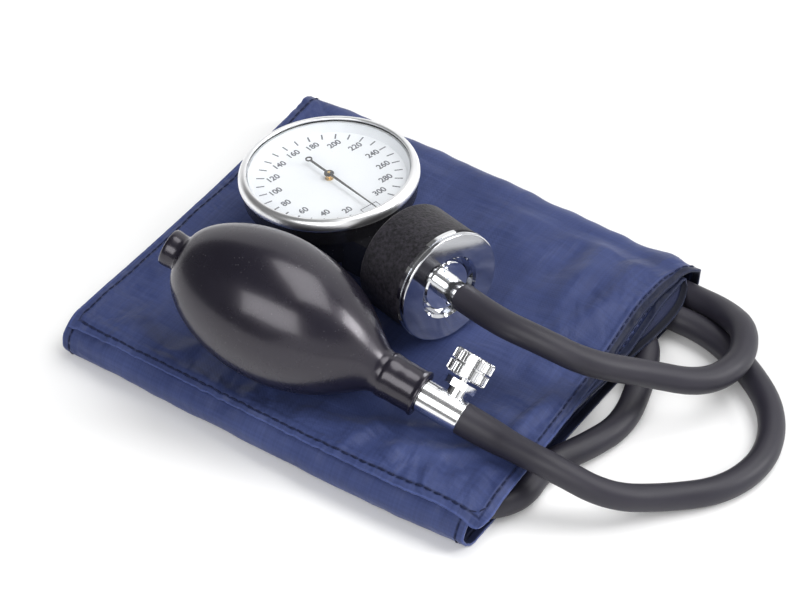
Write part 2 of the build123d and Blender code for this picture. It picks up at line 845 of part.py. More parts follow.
with BuildPart() as bulb:
    with BuildSketch(bulb_cut):
        with BuildLine():
            Bezier(*tail_handles)
            Bezier(*front_handles)
            Polyline(
                (bulb_neck_root, bulb_neck_r),
                (bulb_neck_end, bulb_neck_r),
                (bulb_neck_end, neck_bore),
                (bulb_neck_root, neck_bore),
            )
            Bezier(
                (bulb_neck_root, neck_bore),
                (bulb_neck_root - bulb_throat, bulb_neck_r + bulb_throat_rise - bulb_wall),
                (bulb_widest + bulb_shoulder, bulb_r - bulb_wall),
                (bulb_widest, bulb_r - bulb_wall),
            )
            Bezier(
                (bulb_widest, bulb_r - bulb_wall),
                (bulb_widest - bulb_tail_sweep, bulb_r - bulb_wall),
                (bulb_tail_root + bulb_wall, bulb_tail_r + bulb_tail_bulge - bulb_wall),
                (bulb_tail_root + bulb_wall, tail_bore),
            )
            Polyline(
                (bulb_tail_root + bulb_wall, tail_bore),
                (bulb_tail_end, tail_bore),
                (bulb_tail_end, bulb_tail_r),
                (bulb_tail_root, bulb_tail_r),
            )
        make_face()
    revolve(axis=bulb_axis)
    fillet(rims(bulb, bulb_axis)[-2:].sort_by(SortBy.RADIUS)[-1:], bulb_lip_round)
    fillet(rims(bulb, bulb_axis)[:2].sort_by(SortBy.RADIUS)[-1:], bulb_lip_round)
save(bulb, "bulb")

# Non-return valves: a ball on a seat in a bored chamber, kept in by a small cage
ball_rest = seat_thickness + sqrt(ball_r ** 2 - ball_seat_r ** 2) + ball_play
chamber_end = ball_rest + ball_travel + ball_r + ball_spare + cage_thickness


def valve_ball(seat_start):
    """Ball that rests on the seat of the valve that starts at a distance along the bulb."""
    with Locations(bulb_frame.origin + bulb_frame.x_dir * (seat_start + ball_rest)):
        Sphere(ball_r)


def valve_cage(seat_start):
    """Holed disc at the far end of a valve's chamber."""
    stand = cross_plane(bulb_frame, seat_start + chamber_end - cage_thickness)
    bar(stand, ball_chamber_r, cage_thickness)
    bar(stand, cage_hole_r, cage_thickness, mode=Mode.SUBTRACT)


inlet_start = bulb_tail_end
outlet_start = bulb_neck_end - valve_barb_in

with BuildPart() as inlet_valve_seat:
    turned(bulb_cut, bulb_axis, [
        (inlet_start, ball_seat_r),
        (inlet_start, tail_bore),
        (inlet_start + chamber_end, tail_bore),
        (inlet_start + chamber_end, ball_chamber_r),
        (inlet_start + seat_thickness, ball_chamber_r),
        (inlet_start + seat_thickness, ball_seat_r),
    ])
save(inlet_valve_seat, "inlet_valve_seat")

with BuildPart() as inlet_valve_ball:
    valve_ball(inlet_start)
save(inlet_valve_ball, "inlet_valve_ball")

with BuildPart() as inlet_valve_cage:
    valve_cage(inlet_start)
save(inlet_valve_cage, "inlet_valve_cage")

with BuildPart() as outlet_valve_ball:
    valve_ball(outlet_start)
save(outlet_valve_ball, "outlet_valve_ball")

with BuildPart() as outlet_valve_cage:
    valve_cage(outlet_start)
save(outlet_valve_cage, "outlet_valve_cage")

# Release valve: the needle and its knob lean away from the vertical, square to the valve body
lean_cos = cos(radians(knob_lean))
lean_sin = sin(radians(knob_lean))
stem_dir = bulb_frame.z_dir * lean_cos + bulb_frame.y_dir * lean_sin
stem_spot = bulb_frame.origin + bulb_frame.x_dir * knob_place
stem_frame = Plane(origin=stem_spot, x_dir=bulb_frame.x_dir, z_dir=stem_dir)
stem_cut = meridian_of(stem_frame)
stem_axis = Axis(stem_spot, stem_dir)
needle_flare = (needle_shoulder - needle_tip) / (needle_r - needle_tip_r)
seat_height = needle_tip + (needle_seat_r - needle_tip_r) * needle_flare - ball_play

with BuildPart() as valve_body:
    turned(bulb_cut, bulb_axis, [
        (outlet_start, 0),
        (outlet_start, neck_bore),
        (bulb_neck_end, neck_bore),
        (bulb_neck_end, valve_r),
        (valve_end, valve_r),
        (valve_end, hose_bore_r),
        (valve_end + valve_barb_out, hose_bore_r),
        (valve_end + valve_barb_out, 0),
    ])
    fillet(valve_body.edges().filter_by(GeomType.CIRCLE).sort_by(SortBy.RADIUS)[-2:], valve_edge)
    bar(stem_frame, boss_r, boss_top)
    turned(bulb_cut, bulb_axis, [
        (outlet_start, 0),
        (outlet_start, ball_seat_r),
        (outlet_start + seat_thickness, ball_seat_r),
        (outlet_start + seat_thickness, ball_chamber_r),
        (outlet_start + chamber_end, ball_chamber_r),
        (outlet_start + chamber_end, valve_bore_r),
        (valve_end + valve_barb_out, valve_bore_r),
        (valve_end + valve_barb_out, 0),
    ], Mode.SUBTRACT)
    bar(stem_frame, needle_seat_r, seat_height, mode=Mode.SUBTRACT)
    needle_bore_r = needle_r + needle_play
    bar(stem_frame.offset(seat_height), needle_bore_r, boss_top - seat_height, mode=Mode.SUBTRACT)
    bar(cross_plane(stem_frame, 0), vent_r, boss_r, [(0, vent_height)], Mode.SUBTRACT)
save(valve_body, "valve_body")

with BuildPart() as gland_nut:
    with BuildSketch(stem_frame.offset(gland_bottom)):
        RegularPolygon(gland_flats / 2, 6, major_radius=False)
    extrude(amount=gland_top - gland_bottom)
    bar(stem_frame.offset(gland_bottom), boss_r, boss_top - gland_bottom, mode=Mode.SUBTRACT)
    bar(stem_frame.offset(boss_top), needle_bore_r, gland_top - boss_top, mode=Mode.SUBTRACT)
save(gland_nut, "gland_nut")

with BuildPart() as needle_stem:
    turned(stem_cut, stem_axis, [
        (0, needle_tip),
        (needle_tip_r, needle_tip),
        (needle_r, needle_shoulder),
        (needle_r, needle_top),
        (0, needle_top),
    ])
save(needle_stem, "needle_stem")

with BuildPart() as release_knob:
    with BuildSketch(stem_frame.offset(knob_bottom)):
        Circle(knob_r)
        with PolarLocations(knob_r, knob_knurls):
            Circle(knob_knurl_r, mode=Mode.SUBTRACT)
    extrude(amount=knob_top - knob_bottom)
    knob_middle = (knob_top + knob_bottom) / 2
    turned(stem_cut, stem_axis, [
        (needle_r + running, knob_bottom),
        (knob_r - knob_crown, knob_bottom),
        (knob_r, knob_bottom + knob_crown),
        (knob_r, knob_middle - knob_groove / 2),
        (knob_r - knob_groove_depth, knob_middle - knob_groove / 2),
        (knob_r - knob_groove_depth, knob_middle + knob_groove / 2),
        (knob_r, knob_middle + knob_groove / 2),
        (knob_r, knob_top - knob_crown),
        (knob_r - knob_crown, knob_top),
        (0, knob_top),
        (0, needle_top + fit_gap),
        (needle_r + running, needle_top + fit_gap),
    ], Mode.INTERSECT)
save(release_knob, "release_knob")

# Hoses: routes of points, chosen by hand, with every corner rounded as far as its two runs allow
gauge_hose_route = [
    gauge_frame.origin + gauge_frame.x_dir * nipple_end,
    gauge_frame.origin + gauge_frame.x_dir * (nipple_end + gauge_hose_lead),
    Vector(66.3, -11.0, 36.0),
    Vector(80.5, -6.5, 30.5),
    Vector(92.5, 7.5, 22.0),
    Vector(107.0, 19.0, 16.0),
    Vector(111.0, 34.0, 15.0),
    Vector(105.0, 48.0, 14.5),
    Vector(92.5, 56.8, 9.0),
    Vector(78.0, 59.6, 6.0),
    Vector(56.0, 59.6, 5.8),
    Vector(28.0, 57.5, 5.8),
    Vector(4.0, 48.5, 5.8),
    Vector(-10.0, 25.5, 5.8),
    Vector(-12.0, -6.5, 5.8),
    Vector(0.0, -36.5, 5.8),
    Vector(24.0, -54.5, 5.8),
    Vector(46.0, -59.0, 5.8),
    Vector(68.0, -60.0, 5.8),
    Vector(83.0, -46.0, 5.0),
    Vector(79.5, -25.5, 4.35),
    Vector(86.5, -11.5, 4.35),
    Vector(91.5, 2.5, 4.35),
    Vector(87.5, 22.5, 4.35),
    Vector(77.5, 35.5, 5.4),
    Vector(62.0, 39.5, 5.8),
    Vector(48.0, 40.5, 5.8),
]
bulb_hose_route = [
    bulb_frame.origin + bulb_frame.x_dir * valve_end,
    bulb_frame.origin + bulb_frame.x_dir * (valve_end + bulb_hose_lead),
    Vector(77.0, -40.0, 19.9),
    Vector(90.5, -39.5, 19.0),
    Vector(107.0, -34.7, 12.0),
    Vector(118.3, -21.0, 6.0),
    Vector(131.0, -7.0, 4.35),
    Vector(134.5, 12.0, 4.35),
    Vector(125.5, 30.5, 4.35),
    Vector(108.0, 41.5, 4.35),
    Vector(89.5, 48.4, 4.35),
    Vector(74.0, 48.6, 5.6),
    Vector(60.0, 49.0, 5.8),
]


def bend_radii(route):
    """Radius at each corner of a route: as large as its two runs allow."""
    radii = []
    for before, corner, after in zip(route, route[1:], route[2:]):
        turn = radians((corner - before).get_angle(after - corner))
        run = min((corner - before).length, (after - corner).length)
        radii.append(bend_share * run / tan(turn / 2))
    return radii


def hose_tube(route):
    """Bored tube of straight runs joined by tangent arcs, swept along a route."""
    with BuildLine() as path:
        FilletPolyline(*route, radius=bend_radii(route))
    start = Plane(origin=route[0], z_dir=route[1] - route[0])
    with BuildSketch(start) as section:
        Circle(hose_r)
        Circle(hose_bore_r, mode=Mode.SUBTRACT)
    centre_line = path.wires()[0]
    sweep(section.sketch, path=centre_line)
    return centre_line.length


with BuildPart() as gauge_hose:
    gauge_hose_length = hose_tube(gauge_hose_route)
save(gauge_hose, "gauge_hose")

with BuildPart() as bulb_hose:
    bulb_hose_length = hose_tube(bulb_hose_route)
save(bulb_hose, "bulb_hose")

for hose, route, length in (
    (gauge_hose, gauge_hose_route, gauge_hose_length),
    (bulb_hose, bulb_hose_route, bulb_hose_length),
):
    ring = pi * (hose_r ** 2 - hose_bore_r ** 2)
    print(hose.part.label, "length", round(length, 1), "volume over section", hose.part.volume / ring)
    print("bend radii", [round(radius, 1) for radius in bend_radii(route)])

# Folded cuff: floor, front fold, inner layer, inner fold, bladder pocket, back fold and top flap
front_fold_r = inner_layer_top / 2
back_fold_r = cuff_top / 2
inner_fold_r = (inner_layer_top - bladder_layer_bottom) / 2
front_centre = cuff_front + front_fold_r
back_centre = cuff_back - back_fold_r
inner_centre = inner_fold_back - inner_fold_r
bladder_bottom = bladder_layer_bottom + bladder_ply
pocket_back = inner_end_front + hem + bladder_length
bladder_left = -bladder_width / 2


def layer(bottom, top, front, back, left=cuff_left, right=cuff_right, mode=Mode.ADD):
    """Flat layer of the cuff between two heights."""
    with BuildSketch(Plane.XY.offset(bottom)) as outline:
        with Locations((left, front)):
            Rectangle(right - left, back - front, align=Align.MIN)
    extrude(outline.sketch, amount=top - bottom, mode=mode)


def fold(centre, height, outer_r, inner_r, cut_align):
    """Half-round fold along the whole width of the cuff, with the half on the cut side removed."""
    with BuildSketch(Plane.YZ.offset(cuff_left)) as bend:
        with Locations((centre, height)):
            Circle(outer_r)
            Circle(inner_r, mode=Mode.SUBTRACT)
            Rectangle(2 * outer_r, 2 * outer_r, align=(cut_align, Align.CENTER), mode=Mode.SUBTRACT)
    extrude(bend.sketch, amount=cuff_width)


def spigot_frame(route):
    """Plane at a hose's end whose X runs on along the hose."""
    return frame_along(route[-1], (route[-1] - route[-2]).normalized())


spigot_elbows = [
    spigot_frame(route).origin + spigot_frame(route).x_dir * spigot_arm
    for route in (gauge_hose_route, bulb_hose_route)
]

with BuildPart() as cuff_sleeve:
    layer(0, cloth, front_centre, back_centre)
    fold(front_centre, front_fold_r, front_fold_r, front_fold_r - cloth, Align.MIN)
    layer(inner_layer_bottom, inner_layer_top, front_centre, inner_centre)
    fold(inner_centre, bladder_layer_bottom + inner_fold_r, inner_fold_r, layer_gap / 2, Align.MAX)
    layer(bladder_layer_bottom, bladder_layer_top, inner_end_front, inner_centre)
    fold(back_centre, back_fold_r, back_fold_r, back_fold_r - cloth, Align.MAX)
    with BuildSketch(Plane.XY.offset(flap_bottom)) as flap_plan:
        with BuildLine():
            Polyline(
                (cuff_left, back_centre),
                (cuff_left + flap_skew_left, cuff_front + flap_setback_left),
                (cuff_right + flap_skew_right, cuff_front + flap_setback_right),
                (cuff_right, back_centre),
                close=True,
            )
        make_face()
        fillet(flap_plan.vertices().sort_by(Axis.X)[-1:], flap_corner)
    extrude(amount=cloth)
    layer(
        bladder_bottom,
        bladder_layer_top - bladder_ply,
        inner_end_front + hem,
        pocket_back,
        bladder_left,
        bladder_left + bladder_width,
        Mode.SUBTRACT,
    )
    for elbow in spigot_elbows:
        hole_plane = Plane(origin=Vector(elbow.X, elbow.Y, bladder_layer_bottom))
        bar(hole_plane, spigot_r + spigot_play, bladder_ply, mode=Mode.SUBTRACT)
save(cuff_sleeve, "cuff_sleeve")

with BuildPart() as bladder:
    layer(
        bladder_bottom,
        bladder_bottom + bladder_thickness,
        inner_end_front + hem + bladder_play,
        pocket_back - bladder_play,
        bladder_left + bladder_play,
        bladder_left + bladder_width - bladder_play,
    )
save(bladder, "bladder")


def bladder_spigot(route):
    """Elbow that runs from a hose's bore up to the underside of the bladder."""
    frame = spigot_frame(route)
    elbow = frame.origin + frame.x_dir * spigot_arm
    riser = Plane(origin=elbow)
    height = bladder_bottom - elbow.Z
    bar(cross_plane(frame, 0), spigot_r, spigot_arm)
    with Locations(elbow):
        Sphere(spigot_r)
    bar(riser, spigot_r, height)
    bar(cross_plane(frame, -spigot_barb), hose_bore_r, spigot_barb)
    bar(cross_plane(frame, -spigot_barb), nipple_bore_r, spigot_barb + spigot_arm, mode=Mode.SUBTRACT)
    bar(riser, nipple_bore_r, height, mode=Mode.SUBTRACT)


with BuildPart() as gauge_hose_spigot:
    bladder_spigot(gauge_hose_route)
save(gauge_hose_spigot, "gauge_hose_spigot")

with BuildPart() as bulb_hose_spigot:
    bladder_spigot(bulb_hose_route)
save(bulb_hose_spigot, "bulb_hose_spigot")

# Hook and loop fastening: one patch on each of the two faces that look into the roll
patch_left = cuff_left + patch_inset
patch_span = (-patch_length / 2, patch_length / 2, patch_left, patch_left + patch_width)

with BuildPart() as loop_patch:
    layer(cloth, cloth + patch_thickness, *patch_span)
save(loop_patch, "loop_patch")

with BuildPart() as hook_patch:
    layer(bladder_layer_bottom - patch_thickness, bladder_layer_bottom, *patch_span)
save(hook_patch, "hook_patch")
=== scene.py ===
"""Looks of a pocket aneroid sphygmomanometer that lies on its folded cuff."""
import math

import bmesh
import bpy
from mathutils import Matrix, Vector, noise
from mathutils.bvhtree import BVHTree


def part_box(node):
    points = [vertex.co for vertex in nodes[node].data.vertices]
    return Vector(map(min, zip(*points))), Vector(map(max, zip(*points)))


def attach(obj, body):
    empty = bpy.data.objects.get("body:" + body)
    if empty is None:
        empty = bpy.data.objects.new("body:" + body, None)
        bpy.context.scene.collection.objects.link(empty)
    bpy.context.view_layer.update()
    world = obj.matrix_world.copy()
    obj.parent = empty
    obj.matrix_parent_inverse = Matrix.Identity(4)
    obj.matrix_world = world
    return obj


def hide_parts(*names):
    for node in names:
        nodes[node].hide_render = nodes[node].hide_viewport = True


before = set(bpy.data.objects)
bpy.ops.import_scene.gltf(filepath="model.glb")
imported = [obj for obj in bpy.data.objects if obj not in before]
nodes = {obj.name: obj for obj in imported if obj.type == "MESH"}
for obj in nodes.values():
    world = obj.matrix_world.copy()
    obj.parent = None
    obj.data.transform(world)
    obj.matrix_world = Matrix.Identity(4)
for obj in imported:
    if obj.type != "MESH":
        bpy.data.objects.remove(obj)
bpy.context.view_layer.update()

MM = 0.001
ROOT = "sphygmomanometer"


def add_object(name, data):
    """New object of the scene."""
    thing = bpy.data.objects.new(name, data)
    bpy.context.scene.collection.objects.link(thing)
    return thing


def mesh_piece(name, points, faces, material, smooth=True):
    """Mesh object from points in metres and faces, in one finish."""
    mesh = bpy.data.meshes.new(name)
    mesh.from_pydata([tuple(point) for point in points], [], faces)
    mesh.materials.append(material)
    mesh.polygons.foreach_set("use_smooth", [smooth] * len(mesh.polygons))
    mesh.update()
    return add_object(name, mesh)


def band_faces(rings, count, base=0, closed=True):
    """Faces between rings of points, and from the last ring back to the first where closed."""
    faces = []
    for ring in range(rings if closed else rings - 1):
        here, there = base + ring * count, base + (ring + 1) % rings * count
        for index in range(count):
            beside = (index + 1) % count
            faces.append((here + index, here + beside, there + beside, there + index))
    return faces


def grid_faces(columns, rows, base=0, flipped=False):
    """Faces of a grid of points that are laid row by row."""
    faces = []
    for row in range(rows):
        for column in range(columns):
            a = base + row * (columns + 1) + column
            b, c, d = a + 1, a + columns + 2, a + columns + 1
            faces.append((a, d, c, b) if flipped else (a, b, c, d))
    return faces


def double_grid_faces(columns, rows, first_flipped):
    """Faces of two grids, one after the other, that look away from each other."""
    first = grid_faces(columns, rows, 0, first_flipped)
    second = grid_faces(columns, rows, (columns + 1) * (rows + 1), not first_flipped)
    return [face for pair in zip(first, second) for face in pair]


def face_outwards(piece, bridged=False):
    """Turns all faces outwards, once the two open rims are joined where asked."""
    clean = bmesh.new()
    clean.from_mesh(piece.data)
    if bridged:
        bmesh.ops.bridge_loops(clean, edges=[edge for edge in clean.edges if edge.is_boundary])
    bmesh.ops.recalc_face_normals(clean, faces=clean.faces)
    clean.to_mesh(piece.data)
    clean.free()


def smoothstep(low, high, value):
    """0 below low, 1 above high, and an easy rise between them."""
    share = min(1.0, max(0.0, (value - low) / (high - low)))
    return share * share * (3 - 2 * share)


def mix(a, b, share):
    """Value from a to b as share goes from 0 to 1."""
    return a + (b - a) * share


# ---------------------------------------------------------------- camera

AZIMUTH = math.radians(34.81)
ELEVATION = math.radians(43.187)
view_right = Vector((math.cos(AZIMUTH), math.sin(AZIMUTH), 0))
view_up = Vector((
    -math.sin(ELEVATION) * math.sin(AZIMUTH),
    math.sin(ELEVATION) * math.cos(AZIMUTH),
    math.cos(ELEVATION),
))
view_back = view_right.cross(view_up)
view_target = Vector((-0.451, 11.008, 0)) * MM

lens_data = bpy.data.cameras.new("camera")
lens_data.lens = 180
lens_data.sensor_width = 36
lens_data.clip_start = 0.05
camera = add_object("camera", lens_data)
camera.matrix_world = Matrix.Translation(view_target + view_back * 1.2727) @ Matrix(
    (view_right, view_up, view_back)
).transposed().to_4x4()
bpy.context.scene.camera = camera


# ---------------------------------------------------------------- shader tools

def feed(tree, node, inputs):
    """Gives a node's inputs their values, or joins them to sockets."""
    for key, value in inputs.items():
        if isinstance(value, bpy.types.NodeSocket):
            tree.links.new(value, node.inputs[key])
        else:
            node.inputs[key].default_value = value


def add_node(tree, kind, inputs=None, **settings):
    """Node with its settings, and with its inputs given as values or as sockets to join."""
    made = tree.nodes.new(kind)
    for key, value in settings.items():
        setattr(made, key, value)
    feed(tree, made, inputs or {})
    return made


def calculate(tree, operation, *values, clamp=False):
    """Result of one sum on numbers or sockets."""
    made = add_node(tree, "ShaderNodeMath", dict(enumerate(values)), operation=operation, use_clamp=clamp)
    return made.outputs[0]


def between(tree, share, low, high):
    """Value from low to high as share goes from 0 to 1."""
    made = add_node(tree, "ShaderNodeMapRange", {"Value": share, "To Min": low, "To Max": high})
    return made.outputs["Result"]


def blend_colours(tree, share, first, second):
    """Colour from the first to the second as share goes from 0 to 1."""
    first, second = (
        colour if isinstance(colour, bpy.types.NodeSocket) else (*colour, 1) for colour in (first, second)
    )
    return add_node(tree, "ShaderNodeMix", {0: share, 6: first, 7: second}, data_type="RGBA").outputs[2]


def object_space(tree):
    """Places on the piece itself, in metres."""
    return add_node(tree, "ShaderNodeTexCoord").outputs["Object"]


def soft_noise(tree, where, scale, detail, roughness=0.5):
    """Soft noise from 0 to 1."""
    made = add_node(tree, "ShaderNodeTexNoise", {
        "Vector": where, "Scale": scale, "Detail": detail, "Roughness": roughness,
    })
    return made.outputs["Fac"]


def stretched_noise(tree, where, scale, detail, turn=0.0):
    """Soft noise with its own scale each way, turned in its plane."""
    mapped = add_node(tree, "ShaderNodeMapping", {
        "Vector": where, "Rotation": (0, 0, turn), "Scale": (*scale, 1),
    })
    return soft_noise(tree, mapped.outputs[0], 1.0, detail)


def start_group(name, inputs, outputs):
    """Empty shader group with named number inputs and outputs."""
    group = bpy.data.node_groups.new(name, "ShaderNodeTree")
    for label, value in inputs.items():
        socket = group.interface.new_socket(label, in_out="INPUT", socket_type="NodeSocketFloat")
        socket.default_value = value
    for label in outputs:
        group.interface.new_socket(label, in_out="OUTPUT", socket_type="NodeSocketFloat")
    return group, group.nodes.new("NodeGroupInput").outputs, group.nodes.new("NodeGroupOutput").inputs


def use_group(tree, group, **values):
    """The group placed in a material, with its own values."""
    labelled = {key.capitalize(): value for key, value in values.items()}
    return add_node(tree, "ShaderNodeGroup", labelled, node_tree=group).outputs


def start_material(name):
    """New material with its surface shader."""
    material = bpy.data.materials.new(name)
    material.use_nodes = True
    tree = material.node_tree
    return material, tree, tree.nodes["Principled BSDF"]


def roughen(tree, surface, height, depth):
    """Fine relief on a surface, as deep as given in metres."""
    relief = add_node(tree, "ShaderNodeBump", {"Strength": 1.0, "Distance": depth, "Height": height})
    feed(tree, surface, {"Normal": relief.outputs[0]})


# ---------------------------------------------------------------- effects shared by finishes

# Grain: fine pits and nubs all over, for rubber, plastic and paint
grain, given, result = start_group("grain", {"Scale": 900.0, "Detail": 3.0}, ["Height"])
nubs = soft_noise(grain, object_space(grain), given["Scale"], given["Detail"], 0.6)
grain.links.new(nubs, result["Height"])

# Handling: wide soft patches where hands and dust have dulled or polished the surface
handling, given, result = start_group("handling", {"Scale": 60.0, "Contrast": 2.0}, ["Mask"])
patches = soft_noise(handling, object_space(handling), given["Scale"], 4.0, 0.55)
centred = calculate(handling, "SUBTRACT", patches, 0.5)
spread = calculate(handling, "MULTIPLY", centred, given["Contrast"])
handling.links.new(calculate(handling, "ADD", spread, 0.5, clamp=True), result["Mask"])

# Dust: sparse small specks
dust, given, result = start_group("dust", {"Scale": 700.0, "Amount": 0.1}, ["Mask"])
where = object_space(dust)
specks = add_node(dust, "ShaderNodeTexVoronoi", {"Vector": where, "Scale": given["Scale"]})
close = calculate(dust, "LESS_THAN", specks.outputs["Distance"], given["Amount"])
patchy = calculate(dust, "GREATER_THAN", soft_noise(dust, where, 90.0, 2.0), 0.55)
dust.links.new(calculate(dust, "MULTIPLY", close, patchy), result["Mask"])

# Brushing: hair-thin polishing marks of metal
brushing, given, result = start_group("brushing", {"Scale": 300.0, "Stretch": 14.0}, ["Height"])
factors = add_node(brushing, "ShaderNodeCombineXYZ", {"X": 1.0, "Y": given["Stretch"], "Z": given["Stretch"]})
drawn = add_node(brushing, "ShaderNodeVectorMath", {
    0: object_space(brushing), 1: factors.outputs[0],
}, operation="MULTIPLY")
brushing.links.new(soft_noise(brushing, drawn.outputs[0], given["Scale"], 5.0, 0.7), result["Height"])


def flat_place(tree, given):
    """Place on the flat cut of the cloth, in metres."""
    return add_node(tree, "ShaderNodeCombineXYZ", {"X": given["Across"], "Y": given["Along"]}).outputs[0]


# Weave: plain weave of flat threads
weave, given, result = start_group(
    "weave", {"Across": 0.0, "Along": 0.0, "Threads": 1600.0}, ["Height", "Shade"],
)
waves = []
for way in ("Across", "Along"):
    counted = calculate(weave, "MULTIPLY", given[way], given["Threads"])
    waves.append(calculate(weave, "SINE", calculate(weave, "MULTIPLY", counted, math.pi)))
crossing = calculate(weave, "MULTIPLY", *waves)
weave.links.new(calculate(weave, "MULTIPLY_ADD", crossing, 0.5, 0.5), result["Height"])
slubs = [stretched_noise(weave, flat_place(weave, given), scale, 2.0) for scale in ((1500, 30), (30, 1500))]
weave.links.new(calculate(weave, "MULTIPLY", calculate(weave, "ADD", *slubs), 0.5), result["Shade"])

# Crumple: soft creases of laid nylon, long in one direction or the other
crumple, given, result = start_group("crumple", {"Across": 0.0, "Along": 0.0}, ["Height"])
flat_spot = flat_place(crumple, given)
bent = add_node(crumple, "ShaderNodeTexNoise", {"Vector": flat_spot, "Scale": 26.0, "Detail": 2.0})
pushed = add_node(crumple, "ShaderNodeVectorMath", {
    0: bent.outputs["Color"], 1: (0.03, 0.03, 0.0), 2: flat_spot,
}, operation="MULTIPLY_ADD").outputs[0]
folded = [
    stretched_noise(crumple, pushed, scale, 2.5, turn) for scale, turn in (((90, 26), 0.5), ((28, 80), -0.35))
]
crumple.links.new(calculate(crumple, "ADD", *folded), result["Height"])


# ---------------------------------------------------------------- finishes

def plain_finish(
    name, dark, light, roughness, grain_scale, grain_depth, patch_scale=60.0, dusty=0.0, **shader
):
    """Finish whose colour and gloss drift between two values, over a fine grain, with or without dust."""
    material, tree, surface = start_material(name)
    touched = use_group(tree, handling, scale=patch_scale)["Mask"]
    nub = use_group(tree, grain, scale=grain_scale)["Height"]
    colour = blend_colours(tree, touched, dark, light)
    if dusty:
        specks = use_group(tree, dust, scale=900.0, amount=0.12)["Mask"]
        colour = blend_colours(tree, calculate(tree, "MULTIPLY", specks, dusty), colour, (0.2, 0.2, 0.21))
    feed(tree, surface, {"Base Color": colour, "Roughness": between(tree, touched, *roughness)})
    feed(tree, surface, {key.replace("_", " "): value for key, value in shader.items()})
    roughen(tree, surface, nub, grain_depth)
    return material


def metal_finish(name, dark, light, roughness, marks_scale=260.0, marks_depth=0.000002, stretch=14.0):
    """Bare or plated metal with faint polishing marks."""
    material, tree, surface = start_material(name)
    touched = use_group(tree, handling, scale=110.0)["Mask"]
    scored = use_group(tree, brushing, scale=marks_scale, stretch=stretch)["Height"]
    feed(tree, surface, {
        "Base Color": blend_colours(tree, touched, dark, light),
        "Roughness": between(tree, touched, *roughness), "Metallic": 1.0,
    })
    roughen(tree, surface, scored, marks_depth)
    return material


hose_rubber = plain_finish(
    "hose_rubber", (0.015, 0.0138, 0.022), (0.023, 0.021, 0.032), (0.44, 0.55), 2600.0, 0.00003, 45.0,
    Specular_IOR_Level=0.45,
)
bulb_rubber = plain_finish(
    "bulb_rubber", (0.006, 0.005, 0.010), (0.009, 0.008, 0.015), (0.24, 0.31), 420.0, 0.000012, 70.0, 0.35,
    Specular_IOR_Level=0.48, Specular_Tint=(0.98, 0.93, 1.0, 1), Coat_Weight=0.3, Coat_Roughness=0.14,
    Coat_Tint=(0.97, 0.94, 1.0, 1),
)
seal_rubber = plain_finish(
    "seal_rubber", (0.020, 0.019, 0.020), (0.034, 0.032, 0.033), (0.55, 0.7), 1800.0, 0.00003,
)
bladder_rubber = plain_finish(
    "bladder_rubber", (0.030, 0.029, 0.031), (0.050, 0.048, 0.050), (0.6, 0.75), 1500.0, 0.00005,
)
case_black = plain_finish(
    "case_black", (0.008, 0.008, 0.010), (0.014, 0.014, 0.017), (0.18, 0.28), 1400.0, 0.00001, 90.0, 0.3,
)
spigot_plastic = plain_finish(
    "spigot_plastic", (0.55, 0.54, 0.50), (0.66, 0.65, 0.61), (0.35, 0.45), 1200.0, 0.00002,
)
pointer_black = plain_finish(
    "pointer_black", (0.008, 0.008, 0.009), (0.013, 0.013, 0.015), (0.3, 0.4), 2500.0, 0.000006,
)
print_black = plain_finish(
    "print_black", (0.060, 0.062, 0.080), (0.085, 0.088, 0.110), (0.5, 0.6), 3000.0, 0.000004,
)
dial_white = plain_finish(
    "dial_white", (0.775, 0.79, 0.83), (0.825, 0.838, 0.868), (0.38, 0.46), 1500.0, 0.000004, 40.0,
)
surround_grey = plain_finish(
    "surround_grey", (0.66, 0.68, 0.72), (0.74, 0.76, 0.79), (0.3, 0.4), 1500.0, 0.000008,
)
chrome = metal_finish("chrome", (0.84, 0.85, 0.87), (0.90, 0.91, 0.92), (0.05, 0.09))
# Darker copy of the chrome for the flange plate: painted shade where the plate mirrors the dark cuff
shaded_chrome = metal_finish("shaded_chrome", (0.60, 0.61, 0.64), (0.68, 0.69, 0.72), (0.06, 0.11))
rim_chrome = metal_finish("rim_chrome", (0.90, 0.905, 0.92), (0.94, 0.945, 0.955), (0.3, 0.38))
satin_chrome = metal_finish("satin_chrome", (0.88, 0.885, 0.90), (0.93, 0.935, 0.945), (0.15, 0.22))
knob_chrome = metal_finish("knob_chrome", (0.80, 0.805, 0.82), (0.87, 0.875, 0.885), (0.1, 0.15))
brass = metal_finish("brass", (0.62, 0.44, 0.20), (0.74, 0.54, 0.26), (0.2, 0.32), 500.0, 0.000008)
spring_bronze = metal_finish(
    "spring_bronze", (0.50, 0.30, 0.15), (0.62, 0.38, 0.20), (0.24, 0.34), 500.0, 0.000006,
)
steel = metal_finish("steel", (0.50, 0.50, 0.51), (0.60, 0.60, 0.61), (0.22, 0.34), 500.0, 0.000008)
spring_steel = metal_finish(
    "spring_steel", (0.40, 0.41, 0.43), (0.52, 0.53, 0.55), (0.22, 0.32), 420.0, 0.00001, 20.0,
)

# Crackle paint of the barrel: wrinkled lacquer over a matt black
crackle_black, tree, surface = start_material("crackle_black")
where = object_space(tree)
cells = add_node(tree, "ShaderNodeTexVoronoi", {"Vector": where, "Scale": 1100.0}, feature="SMOOTH_F1")
fine = use_group(tree, grain, scale=2400.0, detail=4.0)["Height"]
touched = use_group(tree, handling, scale=140.0)["Mask"]
pits = add_node(tree, "ShaderNodeMapRange", {
    "Value": soft_noise(tree, where, 800.0, 3.0, 0.7), "From Min": 0.36, "From Max": 0.64,
})
lacquer = blend_colours(tree, touched, (0.025, 0.022, 0.030), (0.034, 0.030, 0.040))
feed(tree, surface, {
    "Base Color": blend_colours(tree, pits.outputs["Result"], (0.004, 0.004, 0.006), lacquer),
    "Specular IOR Level": 0.4, "Roughness": between(tree, fine, 0.45, 0.62),
})
roughen(tree, surface, calculate(tree, "MULTIPLY_ADD", fine, 0.7, cells.outputs["Distance"]), 0.00016)

